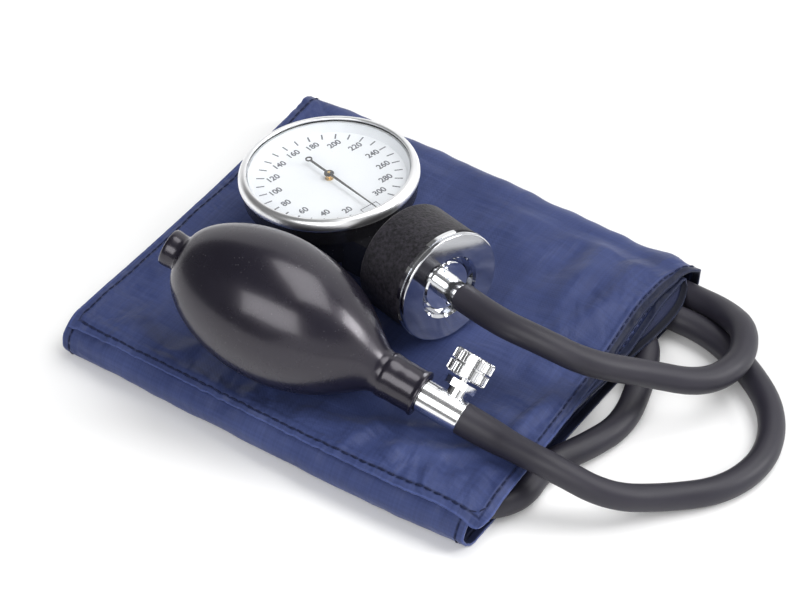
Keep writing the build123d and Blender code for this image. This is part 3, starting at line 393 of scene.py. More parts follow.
# Clear lens: lets the light through to the dial, and reflects the room
clear_lens, tree, surface = start_material("clear_lens")
touched = use_group(tree, handling, scale=80.0)["Mask"]
feed(tree, surface, {
    "Base Color": (1, 1, 1, 1), "Transmission Weight": 1.0, "IOR": 1.47,
    "Roughness": between(tree, touched, 0.0, 0.015),
})
rays = add_node(tree, "ShaderNodeLightPath").outputs
shade_or_view = calculate(tree, "MAXIMUM", rays["Is Shadow Ray"], rays["Is Diffuse Ray"])
passing = add_node(tree, "ShaderNodeBsdfTransparent", {"Color": (0.97, 0.98, 0.98, 1)})
chosen = add_node(tree, "ShaderNodeMixShader", {
    0: shade_or_view, 1: surface.outputs[0], 2: passing.outputs[0],
})
feed(tree, tree.nodes["Material Output"], {"Surface": chosen.outputs[0]})

SEAM_INSET = 2.7


def fall(tree, value, low, high):
    """1 below low, 0 above high, for distances in mm."""
    made = add_node(tree, "ShaderNodeMapRange", {
        "Value": value, "From Min": low * MM, "From Max": high * MM, "To Min": 1.0, "To Max": 0.0,
    })
    return made.outputs["Result"]


def kept_on_cloth(tree, label):
    """The pair of numbers that a sheet keeps under a name."""
    pair = add_node(tree, "ShaderNodeUVMap", uv_map=label).outputs[0]
    return add_node(tree, "ShaderNodeSeparateXYZ", {0: pair}).outputs


def cloth_finish(name, dark, light, hem_shade, threads, gloss, crease_depth):
    """Woven nylon: threads, slubs, and a turned hem with a stitched groove; painted shade in the groove and
    on the turned side hem, and a painted highlight along the cut edge.
    """
    material, tree, surface = start_material(name)
    spot, away = kept_on_cloth(tree, "cut"), kept_on_cloth(tree, "edge")
    nearest = calculate(tree, "MINIMUM", away["X"], away["Y"])
    woven = use_group(tree, weave, across=spot["X"], along=spot["Y"], threads=threads)
    touched = use_group(tree, handling, scale=45.0, contrast=2.4)["Mask"]
    off_seam = calculate(tree, "ABSOLUTE", calculate(tree, "SUBTRACT", nearest, SEAM_INSET * MM))
    groove = fall(tree, off_seam, 0.1, 0.6)
    # Painted shade on the turned side hem near the back fold, read from the shade layer
    painted_side_hem_shade = calculate(tree, "MULTIPLY", fall(tree, nearest, 2.1, 2.7), kept_on_cloth(tree, "shade")["X"])
    lively = calculate(tree, "MULTIPLY_ADD", woven["Shade"], 0.9, 0.53)
    # The tone is darkened on the turned side hem as painted shade, and lightened along the cut edge as a
    # painted highlight
    for mask, value in ((painted_side_hem_shade, 0.2), (fall(tree, nearest, 0.3, 0.75), 1.45)):
        lively = calculate(tree, "MULTIPLY", lively, between(tree, mask, 1.0, value))
    varied = add_node(tree, "ShaderNodeHueSaturation", {
        "Color": blend_colours(tree, touched, dark, light), "Value": lively,
    }).outputs[0]
    # Painted shade in the sunk stitched groove: blends by hem_shade towards a near-black navy
    sewn = calculate(tree, "MULTIPLY", groove, hem_shade)
    # Small creases of thin cloth, most of them beside the hem
    creased = use_group(tree, crumple, across=spot["X"], along=spot["Y"])["Height"]
    beside_hem = between(tree, fall(tree, nearest, 3.0, 22.0), 0.35, 1.0)
    creased = calculate(tree, "MULTIPLY", creased, beside_hem)
    soft = add_node(tree, "ShaderNodeBump", {"Strength": 1.0, "Distance": crease_depth, "Height": creased})
    puff = calculate(tree, "MULTIPLY", groove, -4.0)
    bump = add_node(tree, "ShaderNodeBump", {
        "Strength": 1.0, "Distance": 0.00007, "Normal": soft.outputs[0],
        "Height": calculate(tree, "MULTIPLY_ADD", woven["Height"], 0.3, puff),
    })
    feed(tree, surface, {
        "Base Color": blend_colours(tree, sewn, varied, (0.006, 0.009, 0.032)),
        "Roughness": between(tree, woven["Shade"], *gloss), "Normal": bump.outputs[0],
        "Specular IOR Level": 0.22, "Sheen Weight": 0.12, "Sheen Roughness": 0.4,
        "Sheen Tint": (0.55, 0.62, 0.9, 1),
    })
    return material


navy_nylon = cloth_finish(
    "navy_nylon", (0.029, 0.042, 0.124), (0.046, 0.064, 0.172), 0.55, 1700.0, (0.42, 0.58), 0.0038,
)
# Darker copy of the nylon for the cloth's inner faces: painted shade for the insides of the folds
navy_inner_shade = cloth_finish(
    "navy_inner_shade", (0.008, 0.011, 0.036), (0.013, 0.018, 0.055), 0.6, 1500.0, (0.55, 0.7), 0.0005,
)
thread_navy = plain_finish(
    "thread_navy", (0.008, 0.011, 0.036), (0.016, 0.022, 0.062), (0.6, 0.75), 3000.0, 0.00004,
    Specular_IOR_Level=0.2,
)
hook_tape = plain_finish(
    "hook_tape", (0.012, 0.014, 0.040), (0.022, 0.026, 0.070), (0.6, 0.8), 2200.0, 0.0005,
)
loop_tape = plain_finish(
    "loop_tape", (0.020, 0.024, 0.070), (0.034, 0.040, 0.105), (0.8, 0.95), 1100.0, 0.0006,
)


# ---------------------------------------------------------------- hoses

HOSE_OD = 8.6


def hose(name, node, points, flare):
    """Rubber hose as one smooth line through its route, wider where it grips a barb."""
    line = bpy.data.curves.new(name, "CURVE")
    line.dimensions = "3D"
    line.bevel_depth = HOSE_OD / 2 * MM
    line.bevel_resolution = 10
    line.resolution_u = 16
    line.use_fill_caps = True
    line.materials.append(hose_rubber)
    spline = line.splines.new("NURBS")
    spline.points.add(len(points) - 1)
    for control, point in zip(spline.points, points):
        control.co = (*(Vector(point) * MM), 1)
    for control, wide in zip(spline.points, flare):
        control.radius = wide
    spline.order_u = 3
    spline.use_endpoint_u = True
    made = add_object(name, line)
    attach(made, ROOT)
    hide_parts(node)


gauge_origin = Vector((-25.679, 9.523, 29.568))
gauge_dir = Vector((0.956836, -0.274368, 0.095846))
gauge_up = Vector((-0.092133, 0.026419, 0.995396))
gauge_side = gauge_up.cross(gauge_dir)
bulb_origin = Vector((-2.6, -46.9, 37.406))
bulb_dir = Vector((0.962357, 0.109647, -0.248690))

hose("gauge_tube", "gauge_hose", [
    gauge_origin + gauge_dir * 64.9, gauge_origin + gauge_dir * 79.9, (66.3, -11, 36), (80.5, -6.5, 30.5),
    (92.5, 7.5, 22), (107, 19, 16), (111, 34, 15), (105, 48, 14.5), (92.5, 56.8, 9.0), (78, 59.6, 6.0),
    (56, 59.6, 5.8), (28, 57.5, 5.8), (4, 48.5, 5.8), (-10, 25.5, 5.8), (-12, -6.5, 5.8), (0, -36.5, 5.8),
    (24, -54.5, 5.8), (46, -59, 5.8), (68, -60, 5.8), (82.5, -46, 5.0), (79.5, -28.5, 4.35),
    (86, -14.5, 4.35), (90.3, 0.5, 4.35), (84.5, 20.5, 4.35), (77.5, 35.5, 5.4), (62, 39.5, 5.8),
    (48, 40.5, 5.8),
], (1.04, 1.02))
hose("bulb_tube", "bulb_hose", [
    bulb_origin + bulb_dir * 62.7, bulb_origin + bulb_dir * 72.2, (77, -40, 19.9), (90.5, -39.5, 19.0),
    (107, -34.7, 12), (118.3, -20, 6), (130.6, -5.5, 4.35), (134.0, 13, 4.35), (125.5, 31.5, 4.35),
    (108.3, 43.6, 4.35), (90, 50.3, 4.35), (74, 48.6, 5.6), (60, 49, 5.8),
], (1.2, 1.2))


# ---------------------------------------------------------------- bulb

def bezier(a, b, c, d, steps):
    """Points along a cubic curve, without its last one."""
    for index in range(steps):
        t = index / steps
        s = 1 - t
        yield tuple(
            s ** 3 * a[k] + 3 * s * s * t * b[k] + 3 * s * t * t * c[k] + t ** 3 * d[k] for k in (0, 1)
        )


def turn_profile(name, origin, axis, profile, material, steps, wobble=0.0):
    """Closed profile of (distance, radius) in mm turned round an axis, as one mesh."""
    axis = axis.normalized()
    across = axis.cross(Vector((0, 0, 1))).normalized()
    other = axis.cross(across)
    points = []
    for distance, radius in profile:
        for index in range(steps):
            angle = 2 * math.pi * index / steps
            out = across * math.cos(angle) + other * math.sin(angle)
            spot = origin + axis * distance + out * radius
            if wobble:
                spot += out * wobble * noise.noise(spot * 0.09) * min(1, radius / 15)
            points.append(spot * MM)
    piece = mesh_piece(name, points, band_faces(len(profile), steps), material)
    face_outwards(piece)
    return piece


outside = [
    (-42.3, 4.1), (-42.3, 5.0), (-42.15, 5.5), (-41.8, 5.85), (-41.2, 5.98), (-40.2, 5.95), (-38.9, 5.8),
    (-37.9, 5.78), (-37.2, 6.0), (-36.8, 6.5),
]
outside += bezier((-36.5, 7.0), (-35.2, 13.0), (-22.2, 22.5), (-4.5, 22.5), 30)
outside += bezier((-4.5, 22.5), (18.0, 22.5), (27.5, 10.8), (33.2, 7.45), 44)
outside += [
    (33.2, 7.45), (34.2, 7.16), (35.0, 7.0), (35.4, 7.0), (35.7, 7.14), (36.1, 7.3), (36.8, 7.34),
    (38.0, 7.26), (39.2, 7.12), (40.4, 7.06), (41.6, 7.1), (42.8, 7.08), (44.0, 7.0), (45.2, 7.02),
    (46.2, 6.98), (46.9, 7.04), (47.3, 7.26), (47.7, 7.42), (48.1, 7.42), (48.35, 7.26), (48.45, 6.95),
    (48.45, 5.4),
]
inside = [(48.3, 5.3), (40.0, 5.3), (35.0, 4.7)]
inside += bezier((35.0, 4.6), (27.5, 8.0), (18.0, 20.3), (-4.5, 20.3), 16)
inside += bezier((-4.5, 20.3), (-22.2, 20.3), (-34.3, 10.0), (-34.3, 4.1), 12)
inside += [(-34.3, 4.1), (-38.0, 4.1)]
squeeze_bulb = turn_profile("squeeze_bulb", bulb_origin, bulb_dir, outside + inside, bulb_rubber, 144, 0.12)
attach(squeeze_bulb, ROOT)
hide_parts("bulb")


# ---------------------------------------------------------------- release knob

KNOB_LEAN, KNOB_FOOT, KNOB_TEETH = math.radians(48.0), 57.4, 40


def knurled_knob():
    """Two straight-knurled discs in one, with flat-topped teeth all round."""
    across = Vector((0, 0, 1)).cross(bulb_dir).normalized()
    upright = bulb_dir.cross(across)
    stem = upright * math.cos(KNOB_LEAN) + across * math.sin(KNOB_LEAN)
    other = stem.cross(bulb_dir)
    foot = bulb_origin + bulb_dir * KNOB_FOOT
    # Height over the foot, radius, and how deep the gaps between the teeth are
    rings = (
        (10.7, 1.58, 0), (10.7, 5.9, 0), (10.95, 6.35, 0.2), (11.3, 6.65, 0.45), (14.15, 6.65, 0.45),
        (14.35, 6.5, 0.3), (14.4, 5.7, 0), (14.9, 5.7, 0), (14.95, 6.5, 0.3), (15.15, 6.65, 0.45),
        (17.8, 6.65, 0.45), (18.2, 6.4, 0.25), (18.5, 5.95, 0), (18.6, 5.6, 0), (18.6, 2.0, 0),
        (18.6, 0.3, 0), (16.52, 0.3, 0), (16.52, 1.58, 0),
    )
    # Share of a tooth's pitch, and whether it lies in the gap
    tooth = ((0.0, 0), (0.26, 0), (0.5, 0), (0.62, 1), (0.88, 1))
    points = []
    for height, radius, depth in rings:
        for index in range(KNOB_TEETH):
            for turn, sunk in tooth:
                angle = 2 * math.pi * (index + turn) / KNOB_TEETH
                out = bulb_dir * math.cos(angle) + other * math.sin(angle)
                points.append((foot + stem * height + out * (radius - depth * sunk)) * MM)
    faces = band_faces(len(rings), KNOB_TEETH * len(tooth))
    knob = mesh_piece("knurled_knob", points, faces, knob_chrome, smooth=False)
    face_outwards(knob)
    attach(knob, "valve_knob")
    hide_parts("release_knob")


knurled_knob()


# ---------------------------------------------------------------- cuff

CUFF_WIDE = 152.0
FRONT_CENTRE, FRONT_R = -59.625, 6.375
BACK_CENTRE, BACK_R = 59.05, 6.95
INNER_CENTRE, INNER_R = 59.0, 0.7
TOP_Z, INNER_Z, POCKET_Z, FLOOR_Z = 14.4, 13.25, 11.85, 0.5
POCKET_FRONT = -56.0
FLAP_END = -68.0
STEP, FINE_STEP, HEM_ZONE = 1.2, 0.45, 6.3
CORNER, FLAP_WIDE = 6.0, 155.5
HANG_FROM, HANG_RUN = 77.0, 8.0

# Each run of the roll from the pocket's mouth to the flap's hem: name, length and shape in Y and Z
runs = [
    ("pocket", INNER_CENTRE - POCKET_FRONT, None),
    ("inner_bend", math.pi * INNER_R, (INNER_CENTRE, (POCKET_Z + INNER_Z) / 2, INNER_R, -90)),
    ("inner", INNER_CENTRE - FRONT_CENTRE, None),
    ("front_bend", math.pi * FRONT_R, (FRONT_CENTRE, FLOOR_Z + FRONT_R, FRONT_R, 90)),
    ("floor", BACK_CENTRE - FRONT_CENTRE, None),
    ("back_bend", math.pi * BACK_R, (BACK_CENTRE, FLOOR_Z + BACK_R, BACK_R, -90)),
    ("flap", BACK_CENTRE - FLAP_END, None),
]
straight_runs = {
    "pocket": (POCKET_FRONT, 1, POCKET_Z), "inner": (INNER_CENTRE, -1, INNER_Z),
    "floor": (FRONT_CENTRE, 1, FLOOR_Z), "flap": (BACK_CENTRE, -1, TOP_Z),
}
roll_length = sum(length for name, length, bend in runs)

# Where the layers' sides lie, as X for a Y: the layers are laid a little askew over each other
FLAP_LEFT = ((-68, -71.3), (-47, -70.8), (0, -70.5), (20, -70.5), (45, -71.7), (62, -73.3))
FLAP_RIGHT = (
    (-68, 84.4), (-56, 82.8), (-44, 81.8), (-30, 80.9), (-10, 79.0), (17, 76.6), (36, 74.5), (50, 74.2),
    (59, 74.9), (64, 76.4),
)
UNDER_LEFT = ((-68, -72.4), (0, -71.6), (62, -73.2))
INNER_RIGHT = ((-65, 78.5), (0, 78.8), (20, 78.9), (39, 76.7), (49, 75.6), (61, 75.4))
POCKET_RIGHT = ((-56, 77.0), (0, 78.2), (22, 79.4), (33, 80.4), (44, 80.6), (52, 79.4), (61, 76.2))
FLOOR_RIGHT = ((-65, 78.5), (0, 77.0), (62, 76.5))
# The flap's front edge and the slump of the front fold, as Y for a share of the width from the left
FLAP_FRONT = ((0, -67.9), (0.3, -68.6), (0.78, -68.3), (0.91, -67.3), (0.955, -67.8), (1, -69.0))
FOLD_SLUMP = ((0, -3.0), (0.2, -4.9), (0.6, -5.2), (0.85, -4.5), (1, -3.2))


def smooth_line(table, at):
    """Value at a place on a smooth line through pairs of place and value, level beyond its ends."""
    if at <= table[0][0]:
        return table[0][1]
    if at >= table[-1][0]:
        return table[-1][1]
    index = next(k for k in range(len(table) - 1) if at <= table[k + 1][0])
    (start, a), (stop, b) = table[index], table[index + 1]
    before, after = table[max(0, index - 1)], table[min(len(table) - 1, index + 2)]
    run = stop - start
    slope_a = (b - before[1]) / (stop - before[0]) * run
    slope_b = (after[1] - a) / (after[0] - start) * run
    t = (at - start) / run
    return (
        (2 * t ** 3 - 3 * t ** 2 + 1) * a + (t ** 3 - 2 * t ** 2 + t) * slope_a
        + (3 * t ** 2 - 2 * t ** 3) * b + (t ** 3 - t ** 2) * slope_b
    )


def on_roll(distance):
    """Run, share of it, Y, Z and outward direction at a distance along the roll."""
    for name, length, bend in runs:
        if distance <= length or name == "flap":
            break
        distance -= length
    share = min(1.0, distance / length)
    if bend:
        middle, height, radius, start = bend
        angle = math.radians(start + 180 * share)
        return name, share, middle + radius * math.cos(angle), height + radius * math.sin(angle), (
            math.cos(angle), math.sin(angle)
        )
    begin, way, height = straight_runs[name]
    return name, share, begin + way * distance, height, (0, -way)


# What stands or lies on the flap, and keeps its folds down
resting = []
for label in ("gauge_clip", "capsule_barrel", "gauge_case", "bezel", "flange_plate", "bulb", "valve_body",
              "release_knob"):
    solid = nodes[label]
    resting.append(BVHTree.FromPolygons(
        [solid.matrix_world @ vertex.co for vertex in solid.data.vertices],
        [tuple(face.vertices) for face in solid.data.polygons],
    ))


def headroom(x, y):
    """Free height over the flap before something that lies on it, in mm."""
    free = 20.0
    for tree_of_faces in resting:
        hit = tree_of_faces.ray_cast(Vector((x, y, 14.0)) * MM, Vector((0, 0, 1)))
        if hit[0]:
            free = min(free, hit[0].z / MM - TOP_Z)
    return free


# Soft folds of the flap as seen: ends in X and Y, half width and height
creases = [
    ((49, 62), (56, 4), 11.0, 2.4),
    ((16, 60), (34, 24), 7.0, 1.2),
    ((20, -60), (62, -38), 3.2, 1.3),
    ((48, -59), (82, -30), 2.6, 1.4),
    ((40, -62), (56, -47), 2.2, 0.9),
    ((62, -64), (74, -46), 2.2, 0.9),
    ((70, -35), (72, -7), 2.6, 1.7),
    ((66, -32), (68, -2), 1.5, -1.3),
    ((74, -24), (79, -10), 1.8, -0.8),
    ((50, 57), (54, 16), 4.5, 1.7),
    ((43, 62), (42, 30), 3.6, -1.2),
    ((62, 55), (64, 20), 3.0, 1.0),
    ((66, 50), (68, 16), 8.0, 1.6),
    ((30, -67), (36, -48), 2.6, 1.2),
    ((46, -67), (44, -50), 3.0, 1.4),
    ((61, -67), (58, -52), 2.4, 1.2),
    ((76, -66), (72, -48), 2.6, 1.3),
    ((12, -67), (17, -52), 2.8, 1.0),
    ((-6, -67), (1, -52), 3.0, 1.0),
    ((-36, -67), (-30, -52), 3.0, 1.1),
    ((-56, -66), (-50, -46), 3.2, 1.1),
    ((40, 20), (72, 60), 6.0, 1.3),
    ((56, 6), (71, 48), 3.6, 1.2),
    ((24, 34), (52, 64), 5.0, 1.1),
    ((10, 30), (30, 64), 7.0, 1.0),
    ((44, -6), (66, 20), 4.0, 0.8),
    ((-70, -50), (-40, -64), 4.5, 1.1),
    ((-66, -30), (-44, -50), 5.0, 0.9),
    ((-62, 10), (-54, 50), 6.0, 0.9),
    ((-68, -10), (-58, 14), 3.4, 0.7),
    ((-34, -66), (10, -63), 3.0, 0.8),
]


def crease_height(x, y):
    """Sum of the soft folds at a place on the flap."""
    total = 0.0
    for (ax, ay), (bx, by), half_width, height in creases:
        dx, dy = bx - ax, by - ay
        run = math.hypot(dx, dy)
        share = ((x - ax) * dx + (y - ay) * dy) / (run * run)
        held = min(1.0, max(0.0, share))
        off = math.hypot(x - ax - held * dx, y - ay - held * dy)
        total += height * math.exp(-(off / half_width) ** 2) * (0.35 + 0.65 * math.sin(math.pi * held))
    return total


def swell(x, y, seed):
    """Broad and middling waves of laid cloth, from about -1 to 1."""
    broad = noise.noise(Vector((x * 0.021, y * 0.017, seed)))
    middling = noise.noise(Vector((x * 0.06, y * 0.05, seed + 7)))
    return broad * 1.2 + middling * 0.45


def hem_pucker(from_edge, along, side):
    """Small gathers along a sewn hem."""
    gather = noise.noise(Vector((along * 0.34, side, 0))) + 0.5 * noise.noise(Vector((along * 0.8, side, 4)))
    return 0.6 * gather * math.exp(-from_edge / 5.0)


def slump_near_fold(y, u):
    """How far the under layers run on forward into the slack front fold."""
    return smooth_line(FOLD_SLUMP, u) * smoothstep(0, 1, (-28 - y) / 31.6)


def flap_point(u, share, z):
    """Place on the flap, the roll's last layer."""
    y = mix(BACK_CENTRE, smooth_line(FLAP_FRONT, u), share)
    left, right = smooth_line(FLAP_LEFT, y), smooth_line(FLAP_RIGHT, y)
    x = mix(left, right, u)
    x, y = round_corner(x, y, u, share)
    from_right, from_left = CUFF_WIDE * (1 - u), CUFF_WIDE * u
    from_front = (1 - share) * (BACK_CENTRE - FLAP_END)
    lift = max(0.0, 0.5 + 0.75 * swell(x, y, 2.0) + crease_height(x, y)) * smoothstep(0, 0.06, share)
    lift *= mix(0.35, 1.0, smoothstep(0, 10, from_front))
    lift = min(lift, headroom(x, y) - 0.75)
    # The hem drapes over the slack front fold, and hangs where nothing is under it
    over_fold = FRONT_CENTRE + smooth_line(FOLD_SLUMP, u) - y
    if over_fold > 0:
        lift -= FRONT_R - math.sqrt(max(0.0, FRONT_R ** 2 - min(over_fold, FRONT_R - 0.3) ** 2))
    hang = max(0.0, x - HANG_FROM) / HANG_RUN
    lift -= 1.2 * hang * hang * smoothstep(0.35, 0.8, share)
    # The right hem is turned down, with a ridge where it is sewn and a lip that flares
    turned = smoothstep(0.0, 0.04, share) * mix(1.0, 0.45, smoothstep(0.45, 0.75, share))
    turned *= smoothstep(2.0, 9.0, from_front)
    lift += turned * (
        0.4 * math.exp(-((from_right - 3.3) / 0.8) ** 2) - 1.85 * smoothstep(0, 1, (3.0 - from_right) / 2.3)
    )
    lift += turned * 0.12 * math.exp(-(from_right / 0.5) ** 2)
    lift += (
        0.22 * math.exp(-((from_left - 3.4) / 0.9) ** 2) - 0.35 * smoothstep(0, 1, (2.8 - from_left) / 2.4)
    )
    lift += 0.2 * math.exp(-((from_front - 3.4) / 0.9) ** 2)
    lift += hem_pucker(from_right, y, 3.0) + hem_pucker(from_left, y, 9.0) + hem_pucker(from_front, x, 31.0)
    return Vector((x, y, z + lift))


def cloth_point(u, distance):
    """Place of the cuff's cloth, in mm, for u from 0 (left) to 1 (right) and a distance along the roll."""
    name, share, y, z, (out_y, out_z) = on_roll(distance)
    if name == "flap":
        return flap_point(u, share, z)
    from_right = CUFF_WIDE * (1 - u)
    pucker = 0.5 * (hem_pucker(from_right, distance, 3.0) + hem_pucker(CUFF_WIDE * u, distance, 9.0))
    left = smooth_line(UNDER_LEFT, y)
    if name in ("pocket", "inner", "inner_bend"):
        # Under layers follow the flap, and sag out at the right side near the back fold
        if name == "inner":
            right, sag = smooth_line(INNER_RIGHT, y), 1.5
        elif name == "pocket":
            right, sag = smooth_line(POCKET_RIGHT, y), 2.2
        else:
            right, sag = mix(76.2, 75.4, share), 1.8
        x = mix(left, right, u)
        sag *= smoothstep(0, 1, (8.0 - from_right) / 7.0) * mix(0.55, 1.0, smoothstep(-10, 10, y))
        sag *= 1 - 0.6 * smoothstep(52, 62, y)
        lift = max(0.0, 0.35 + 0.6 * swell(x, y, 2.0)) * smoothstep(-58, -45, y) * (1 - smoothstep(44, 57, y))
        lift = min(lift, 0.5 * headroom(x, y), 1.2)
        return Vector((x, y + slump_near_fold(y, u), z + lift * 0.6 - sag + pucker * 0.5))
    if name == "floor":
        x = mix(left, smooth_line(FLOOR_RIGHT, y), u)
        return Vector((x, y + slump_near_fold(y, u), z + 0.05 + 0.05 * swell(x, y, 5.0)))
    # Folds: slack waves along the fold, strongest at mid height
    bulge = math.sin(math.pi * share)
    if name == "front_bend":
        x = mix(left, 78.5, u)
        y += smooth_line(FOLD_SLUMP, u)
        slack = 0.6 * noise.noise(Vector((x * 0.05, share * 1.4, 11.0))) + 0.35 * noise.noise(
            Vector((x * 0.15, share * 3, 13.0))
        )
        slack += 0.5 * math.exp(-((share - 0.42 - 0.0012 * x) / 0.07) ** 2)
        # The left end is pressed down to a low crease
        pressed = 1 - smoothstep(0.0, 0.16, u)
        z -= 2.6 * bulge * pressed
        x -= 0.8 * bulge * pressed
    else:
        x = mix(left, mix(76.5, 74.9, share) + 1.7 * math.exp(-((share - 0.74) / 0.16) ** 2), u)
        y += 1.6 * bulge * smoothstep(0.0, 0.12, u)
        slack = 0.9 * noise.noise(Vector((x * 0.06, share * 1.5, 17.0))) + 0.5 * noise.noise(
            Vector((x * 0.16, share * 2.0, 19.0))
        )
        slack += 1.1 * math.exp(-((x - 66) / 5.0) ** 2) - 0.7 * math.exp(-((x - 55) / 4.0) ** 2)
    slack *= bulge
    return Vector((x, y + out_y * (slack + pucker), max(FLOOR_Z + 0.02, z + out_z * (slack + pucker))))


def round_corner(x, y, u, share):
    """Rounds the flap's front right corner."""
    right_gap = (1 - u) * FLAP_WIDE
    front_gap = (1 - share) * (BACK_CENTRE - FLAP_END)
    if right_gap >= CORNER or front_gap >= CORNER:
        return x, y
    px, py = CORNER - right_gap, CORNER - front_gap
    rounded_x = px * math.sqrt(1 - py * py / (2 * CORNER ** 2))
    rounded_y = py * math.sqrt(1 - px * px / (2 * CORNER ** 2))
    return x - (px - rounded_x), y + (py - rounded_y)


def close_at_hems(length, step):
    """Places from 0 to 1 along a length, closer together near both ends."""
    hem = round(HEM_ZONE / FINE_STEP)
    middle = round((length - 2 * HEM_ZONE) / step)
    places = [HEM_ZONE * index / hem for index in range(hem)]
    places += [HEM_ZONE + (length - 2 * HEM_ZONE) * index / middle for index in range(middle)]
    places += [length - HEM_ZONE * (hem - index) / hem for index in range(hem + 1)]
    return [place / length for place in places]


def cloth_grid(name, across, along, place, inner, outer, thickness):
    """Sheet of cloth as a grid with its flat cut and its distance from the edges kept for the finish."""
    points, cut, edge, shade = [], [], [], []
    for share in along:
        for u in across:
            spot, flat, away = place(u, share)
            points.append(spot * MM)
            cut.append(flat * MM)
            edge.append(away * MM)
            # Painted shade: the turned side hem lies in its own shade near the back fold, and this layer
            # darkens it there
            shade.append(Vector((smoothstep(0.6, 0.8, u) * smoothstep(-30, 10, spot.y), 0)))
    faces = grid_faces(len(across) - 1, len(along) - 1)
    sheet = mesh_piece(name, points, faces, inner)
    sheet.data.materials.append(outer)
    for label, values in (("cut", cut), ("edge", edge), ("shade", shade)):
        layer = sheet.data.uv_layers.new(name=label)
        for loop in sheet.data.loops:
            layer.data[loop.index].uv = values[loop.vertex_index]
    skin = sheet.modifiers.new("cloth thickness", "SOLIDIFY")
    skin.thickness = thickness * MM
    skin.offset = 0
    skin.material_offset = 1
    skin.material_offset_rim = 1
    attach(sheet, ROOT)
    return sheet


def front_inset(u):
    """How far in from the front edge the hem is sewn."""
    return mix(1.8, SEAM_INSET, smoothstep(0.45, 0.95, u)) + 0.5 * math.exp(-(u / 0.04) ** 2)


def cuff_spot(u, share):
    """Place, flat cut and distances from the side and end edges for the cuff's cloth."""
    distance = share * roll_length
    side = CUFF_WIDE * min(u, 1 - u)
    ends = min(distance, (roll_length - distance) * SEAM_INSET / front_inset(u))
    return cloth_point(u, distance), Vector((CUFF_WIDE * u, distance)), Vector((side, ends))


cuff_cloth = cloth_grid(
    "cuff_cloth", close_at_hems(CUFF_WIDE, STEP), close_at_hems(roll_length, STEP), cuff_spot, navy_inner_shade,
    navy_nylon, 0.85,
)
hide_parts("cuff_sleeve")

PLY_LONG = INNER_CENTRE - POCKET_FRONT - 2


def ply_spot(u, share):
    """The pocket's lower ply, sewn to the cuff's cloth all round."""
    distance = share * PLY_LONG
    above = cloth_point(u, distance)
    side = CUFF_WIDE * min(u, 1 - u)
    ends = min(distance, PLY_LONG - distance)
    apart = 1.15 * smoothstep(1.5, 9.0, side) * smoothstep(0.5, 8.0, ends)
    return above - Vector((0, 0, 0.5 + apart)), Vector((CUFF_WIDE * u, distance)), Vector((side, ends))


pocket_ply = cloth_grid(
    "pocket_ply", close_at_hems(CUFF_WIDE, 2.4), close_at_hems(PLY_LONG, 2.4), ply_spot, navy_inner_shade,
    navy_inner_shade, 0.4,
)


# Stitches: short threads along the hems, half sunk into the cloth
def stitch_run(spots):
    """Threads along a line of places, each with the direction out of the cloth."""
    travelled, gap_left, start = 0.0, 0.0, None
    threads = []
    for (a, out_a), (b, out_b) in zip(spots, spots[1:]):
        travelled += (b - a).length
        if start is None:
            start, start_out, began = a, out_a, travelled - (b - a).length
        if travelled - began >= 2.3:
            threads.append((start, b, (start_out + out_b).normalized()))
            start, began = None, 0.0
            gap_left = travelled + 0.9
        elif travelled < gap_left:
            start = None
    return threads


THREAD_R, THREAD_SIDES = 0.25, 6


def thread_mesh(name, threads):
    """Small tapered threads as one mesh."""
    points, faces = [], []
    # Share of the thread's length, and how thick it is there
    rings = ((0.0, 0.35), (0.14, 0.9), (0.5, 1.0), (0.86, 0.9), (1.0, 0.35))
    for a, b, out in threads:
        way = (b - a).normalized()
        side = way.cross(out).normalized()
        base = len(points)
        for share, size in rings:
            middle = a.lerp(b, share) + out * (0.06 + 0.16 * math.sin(math.pi * share))
            for index in range(THREAD_SIDES):
                angle = index * math.pi / 3
                round_about = side * math.cos(angle) + out * math.sin(angle)
                points.append((middle + round_about * THREAD_R * size) * MM)
        faces += band_faces(len(rings), THREAD_SIDES, base, closed=False)
        last = base + THREAD_SIDES * (len(rings) - 1)
        faces.append(tuple(base + index for index in reversed(range(THREAD_SIDES))))
        faces.append(tuple(last + index for index in range(THREAD_SIDES)))
    piece = mesh_piece(name, points, faces, thread_navy)
    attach(piece, ROOT)


def outer_face(u, distance):
    """Place on the cloth's outer face and the direction out of it."""
    here = cloth_point(u, distance)
    across = cloth_point(min(1, u + 0.004), distance) - cloth_point(max(0, u - 0.004), distance)
    along = cloth_point(u, min(roll_length, distance + 0.5)) - cloth_point(u, max(0, distance - 0.5))
    out = along.cross(across).normalized()
    return here + out * 0.42, out


side_share = SEAM_INSET / CUFF_WIDE
SEAM_ROUND = 4.5
turn_distance = roll_length - SEAM_INSET - SEAM_ROUND
turn_share = 1 - side_share - SEAM_ROUND / CUFF_WIDE


def even_places(start, stop, pitch):
    """Places from start to stop about one pitch apart."""
    count = max(1, round(abs(stop - start) / pitch))
    return [mix(start, stop, index / count) for index in range(count + 1)]


left_seam = [(side_share, place) for place in even_places(0, roll_length - front_inset(side_share), 0.3)]
right_seam = [(1 - side_share, place) for place in even_places(0, turn_distance, 0.3)]
right_seam += [
    (
        turn_share + SEAM_ROUND / CUFF_WIDE * math.cos(math.radians(turn)),
        turn_distance + SEAM_ROUND * math.sin(math.radians(turn)),
    ) for turn in range(4, 90, 4)
]
right_seam += [
    (u, roll_length - front_inset(u)) for u in even_places(turn_share, side_share, 0.3 / CUFF_WIDE)
]
threads = []
for seam in (left_seam, right_seam):
    threads += stitch_run([outer_face(u, place) for u, place in seam])
thread_mesh("hem_stitches", threads)


# Bladder: flat rubber bag with a welded rim
BLADDER_LEFT, BLADDER_RIGHT, BLADDER_FRONT, BLADDER_BACK, BLADDER_Z = -58.6, 58.6, -47.6, 53.4, 11.42


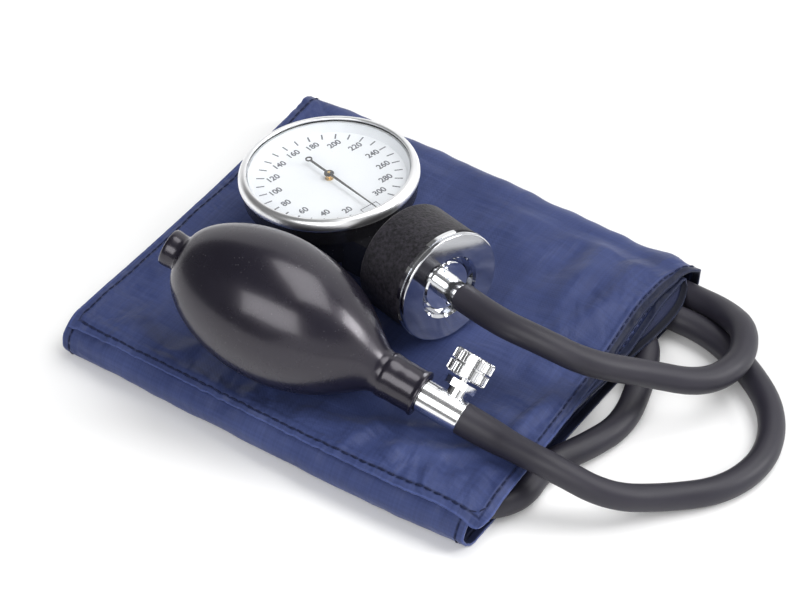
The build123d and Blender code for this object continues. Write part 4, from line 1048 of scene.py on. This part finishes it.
def make_bladder():
    """Flat bag: two faces that swell from a thin welded rim."""
    columns, rows = 60, 52
    points = []
    for face in (1, -1):
        for row in range(rows + 1):
            for column in range(columns + 1):
                x = mix(BLADDER_LEFT, BLADDER_RIGHT, column / columns)
                y = mix(BLADDER_FRONT, BLADDER_BACK, row / rows)
                side = min(x - BLADDER_LEFT, BLADDER_RIGHT - x, y - BLADDER_FRONT, BLADDER_BACK - y)
                half = 0.12 + 0.26 * smoothstep(3.0, 8.0, side)
                points.append(Vector((x, y, BLADDER_Z + face * half + 0.04 * swell(x, y, 21))) * MM)
    grid = (columns + 1) * (rows + 1)
    faces = double_grid_faces(columns, rows, first_flipped=False)
    for column in range(columns):
        a, b = column, column + 1
        faces.append((a + grid, b + grid, b, a))
        a, b = rows * (columns + 1) + column, rows * (columns + 1) + column + 1
        faces.append((a, b, b + grid, a + grid))
    for row in range(rows):
        a, b = row * (columns + 1), (row + 1) * (columns + 1)
        faces.append((a, b, b + grid, a + grid))
        a, b = a + columns, b + columns
        faces.append((a + grid, b + grid, b, a))
    bag = mesh_piece("bladder_bag", points, faces, bladder_rubber)
    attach(bag, ROOT)
    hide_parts("bladder")


make_bladder()


# Hook and loop: tape with a rough pile and rounded corners
def tape(name, node, height, thickness, face, material):
    """Patch of hook or loop tape with its pile on one face."""
    low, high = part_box(node)
    columns, rows = 50, 96
    points = []
    for level in (0, 1):
        for row in range(rows + 1):
            for column in range(columns + 1):
                x = mix(low[0] / MM, high[0] / MM, column / columns)
                y = mix(low[1] / MM, high[1] / MM, row / rows)
                side = min(x - low[0] / MM, high[0] / MM - x, y - low[1] / MM, high[1] / MM - y)
                pile = 0.0
                if level:
                    pile = face * (thickness * (0.45 + 0.5 * smoothstep(0, 2.0, side)))
                    pile -= face * 0.18 * abs(noise.noise(Vector((x * 1.1, y * 1.1, height))))
                points.append(Vector((x, y, height + pile)) * MM)
    patch = mesh_piece(name, points, double_grid_faces(columns, rows, first_flipped=True), material)
    face_outwards(patch, bridged=True)
    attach(patch, ROOT)
    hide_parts(node)


tape("loop_tape_patch", "loop_patch", 1.0, 0.95, 1, loop_tape)
tape("hook_tape_patch", "hook_patch", 10.55, 0.9, -1, hook_tape)


# ---------------------------------------------------------------- bezel

RIM_TOP, RIM_BOTTOM, RIM_R, RIM_HOLE = 14.2, 10.4, 28.7, 26.0
rim_profile = [(RIM_BOTTOM, 27.75), (RIM_BOTTOM, 28.3), (10.5, 28.5), (10.75, 28.62), (11.1, RIM_R)]
for index in range(15):
    turn = math.radians(90 * index / 14)
    rim_profile.append((RIM_TOP - 2.9 * (1 - math.sin(turn)), RIM_R - 2.1 * (1 - math.cos(turn))))
rim_profile += [
    (14.18, 26.35), (14.08, 26.15), (13.9, 26.02), (13.7, RIM_HOLE), (13.55, RIM_HOLE), (13.52, 26.2),
    (13.52, 27.72),
]
bright_rim = turn_profile("bright_rim", gauge_origin, gauge_up, rim_profile, rim_chrome, 256)
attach(bright_rim, ROOT)
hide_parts("bezel")


# ---------------------------------------------------------------- dial scale

DIAL_TOP = 9.0
PER_UNIT, FIRST_MARK_LEAD = math.radians(1.1295), math.radians(2.6)
NUMBER_SIZE, NUMBER_R = 3.3, 17.8
MARK_IN, MARK_OUT, MARK_HALF = 20.6, 23.2, 0.25


def on_dial(x, y, height=0.02):
    """Place on the dial's face: x towards the barrel, y to the right of upright numbers."""
    return gauge_origin + gauge_dir * x + gauge_side * y + gauge_up * (DIAL_TOP + height)


def scale_place(reading, radius):
    """X and Y on the dial for a reading of the scale."""
    angle = FIRST_MARK_LEAD - reading * PER_UNIT
    return radius * math.cos(angle), radius * math.sin(angle)


def number_mesh(text, size):
    """Outline of a printed number, centred on its middle."""
    curve = bpy.data.curves.new("number", "FONT")
    curve.body = text
    curve.size = size
    curve.align_x = "CENTER"
    curve.align_y = "CENTER"
    curve.offset = 0.03 * size
    holder = add_object("number", curve)
    bpy.context.view_layer.update()
    flat = bpy.data.meshes.new_from_object(holder.evaluated_get(bpy.context.evaluated_depsgraph_get()))
    bpy.data.objects.remove(holder)
    bpy.data.curves.remove(curve)
    return flat


points, faces = [], []
for reading in range(20, 301, 20):
    printed = number_mesh(str(reading), NUMBER_SIZE)
    cx, cy = scale_place(reading, NUMBER_R)
    base = len(points)
    for vertex in printed.vertices:
        points.append(on_dial(cx - vertex.co.y, cy + vertex.co.x * 0.92) * MM)
    faces += [tuple(base + index for index in face.vertices) for face in printed.polygons]
    bpy.data.meshes.remove(printed)


def ink_bar(corners):
    """Printed four-sided mark."""
    base = len(points)
    points.extend(on_dial(x, y) * MM for x, y in corners)
    faces.append((base, base + 1, base + 2, base + 3))


for reading in range(20, 301, 10):
    out = scale_place(reading, 1.0)
    beside = (-out[1], out[0])
    ink_bar([
        (out[0] * r + beside[0] * w, out[1] * r + beside[1] * w)
        for r, w in (
            (MARK_IN, -MARK_HALF), (MARK_OUT, -MARK_HALF), (MARK_OUT, MARK_HALF), (MARK_IN, MARK_HALF),
        )
    ])

# Small box that the pointer's tip rests in when there is no pressure
box_in, box_out, box_half, ink = 19.4, 22.3, 3.2, 0.26
for low_x, high_x, low_y, high_y in (
    (box_in, box_in + ink, -box_half, box_half), (box_out - ink, box_out, -box_half, box_half),
    (box_in, box_out, -box_half, -box_half + ink), (box_in, box_out, box_half - ink, box_half),
):
    ink_bar([(low_x, low_y), (high_x, low_y), (high_x, high_y), (low_x, high_y)])

dial_scale = mesh_piece("dial_scale", points, faces, print_black, smooth=False)
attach(dial_scale, ROOT)


# ---------------------------------------------------------------- finishes of the CAD pieces

finish_of = (
    (clear_lens, "lens"), (surround_grey, "dial_ring"), (dial_white, "dial_plate"),
    (pointer_black, "pointer pointer_hub"), (case_black, "gauge_case"), (crackle_black, "capsule_barrel"),
    (brass, "dial_bush arbor_pinion hairspring_collet hairspring_stud sector_gear movement_base_plate"),
    (brass, "movement_top_plate movement_pillars capsule_pad neck_bush inlet_valve_seat inlet_valve_cage"),
    (brass, "outlet_valve_cage"), (spring_bronze, "hairspring capsule"),
    (steel, "sector_shaft movement_screws push_rod barrel_screws clip_rivets inlet_valve_ball"),
    (steel, "outlet_valve_ball"), (spring_steel, "gauge_clip"), (seal_rubber, "flange_seal"),
    (chrome, "crimp_ring spanner_nut gland_nut needle_stem"), (shaded_chrome, "flange_plate"),
    (satin_chrome, "gauge_nipple valve_body"), (spigot_plastic, "gauge_hose_spigot bulb_hose_spigot"),
)
for material, labels in finish_of:
    for label in labels.split():
        for holder in nodes[label].material_slots:
            holder.material = material


# ---------------------------------------------------------------- floor, light and room

floor_white, tree, surface = start_material("floor_white")
touched = use_group(tree, handling, scale=3.0, contrast=1.0)["Mask"]
feed(tree, surface, {
    "Base Color": blend_colours(tree, touched, (0.93, 0.93, 0.93), (0.95, 0.95, 0.95)),
    "Roughness": 0.9, "Specular IOR Level": 0.1,
})
FLOOR_HALF, FLOOR_DROP = 4, 0.00002
floor = mesh_piece(
    "floor", [(x * FLOOR_HALF, y * FLOOR_HALF, 0) for x, y in ((-1, -1), (1, -1), (1, 1), (-1, 1))],
    [(0, 1, 2, 3)], floor_white, smooth=False,
)
floor.location.z = -FLOOR_DROP


def softbox(name, spot, wide, high, power):
    """Soft lamp that looks at the object."""
    lamp = bpy.data.lights.new(name, "AREA")
    lamp.shape = "RECTANGLE"
    lamp.size = wide
    lamp.size_y = high
    lamp.energy = power
    holder = add_object(name, lamp)
    holder.location = spot
    holder.rotation_euler = (view_target - Vector(spot)).to_track_quat("-Z", "Y").to_euler()


softbox("top_softbox", Vector((0.285, 0.300, 0.897)) * 1.3, 1.05, 0.72, 10.5)
softbox("front_softbox", Vector((0.20, -0.74, 0.64)) * 1.35, 1.0, 0.72, 10.0)
softbox("side_softbox", Vector((0.78, 0.42, 0.46)) * 1.5, 0.5, 0.5, 9.5)

# The room is white all round. What shines also shows a dark ceiling, which begins higher at the back
# and lower on the left
room = bpy.data.worlds.new("room")
room.use_nodes = True
tree = room.node_tree
rays = add_node(tree, "ShaderNodeLightPath").outputs
towards = add_node(tree, "ShaderNodeTexCoord").outputs["Generated"]
height = add_node(tree, "ShaderNodeSeparateXYZ", {0: towards}).outputs["Z"]
at_back, at_left = (
    calculate(tree, "MAXIMUM", add_node(
        tree, "ShaderNodeVectorMath", {0: towards, 1: way}, operation="DOT_PRODUCT",
    ).outputs["Value"], 0.0)
    for way in ((-0.57, 0.82, 0), (-0.82, -0.57, 0))
)
brow = calculate(tree, "MULTIPLY_ADD", at_back, -0.55, height)
brow = calculate(tree, "MULTIPLY_ADD", at_left, 0.8, brow)
ceiling = add_node(tree, "ShaderNodeMapRange", {
    "Value": brow, "From Min": 0.28, "From Max": 0.46, "To Min": 1.0, "To Max": 0.16,
}, interpolation_type="SMOOTHSTEP").outputs["Result"]
clear = calculate(tree, "MAXIMUM", rays["Is Camera Ray"], rays["Is Transmission Ray"])
strength = add_node(tree, "ShaderNodeMix", {0: rays["Is Glossy Ray"], 2: 0.34, 3: ceiling}).outputs[0]
strength = add_node(tree, "ShaderNodeMix", {0: clear, 2: strength, 3: 1.0}).outputs[0]
feed(tree, tree.nodes["Background"], {"Color": (1, 1, 1, 1), "Strength": strength})
bpy.context.scene.world = room
bpy.context.scene.view_settings.view_transform = "Standard"
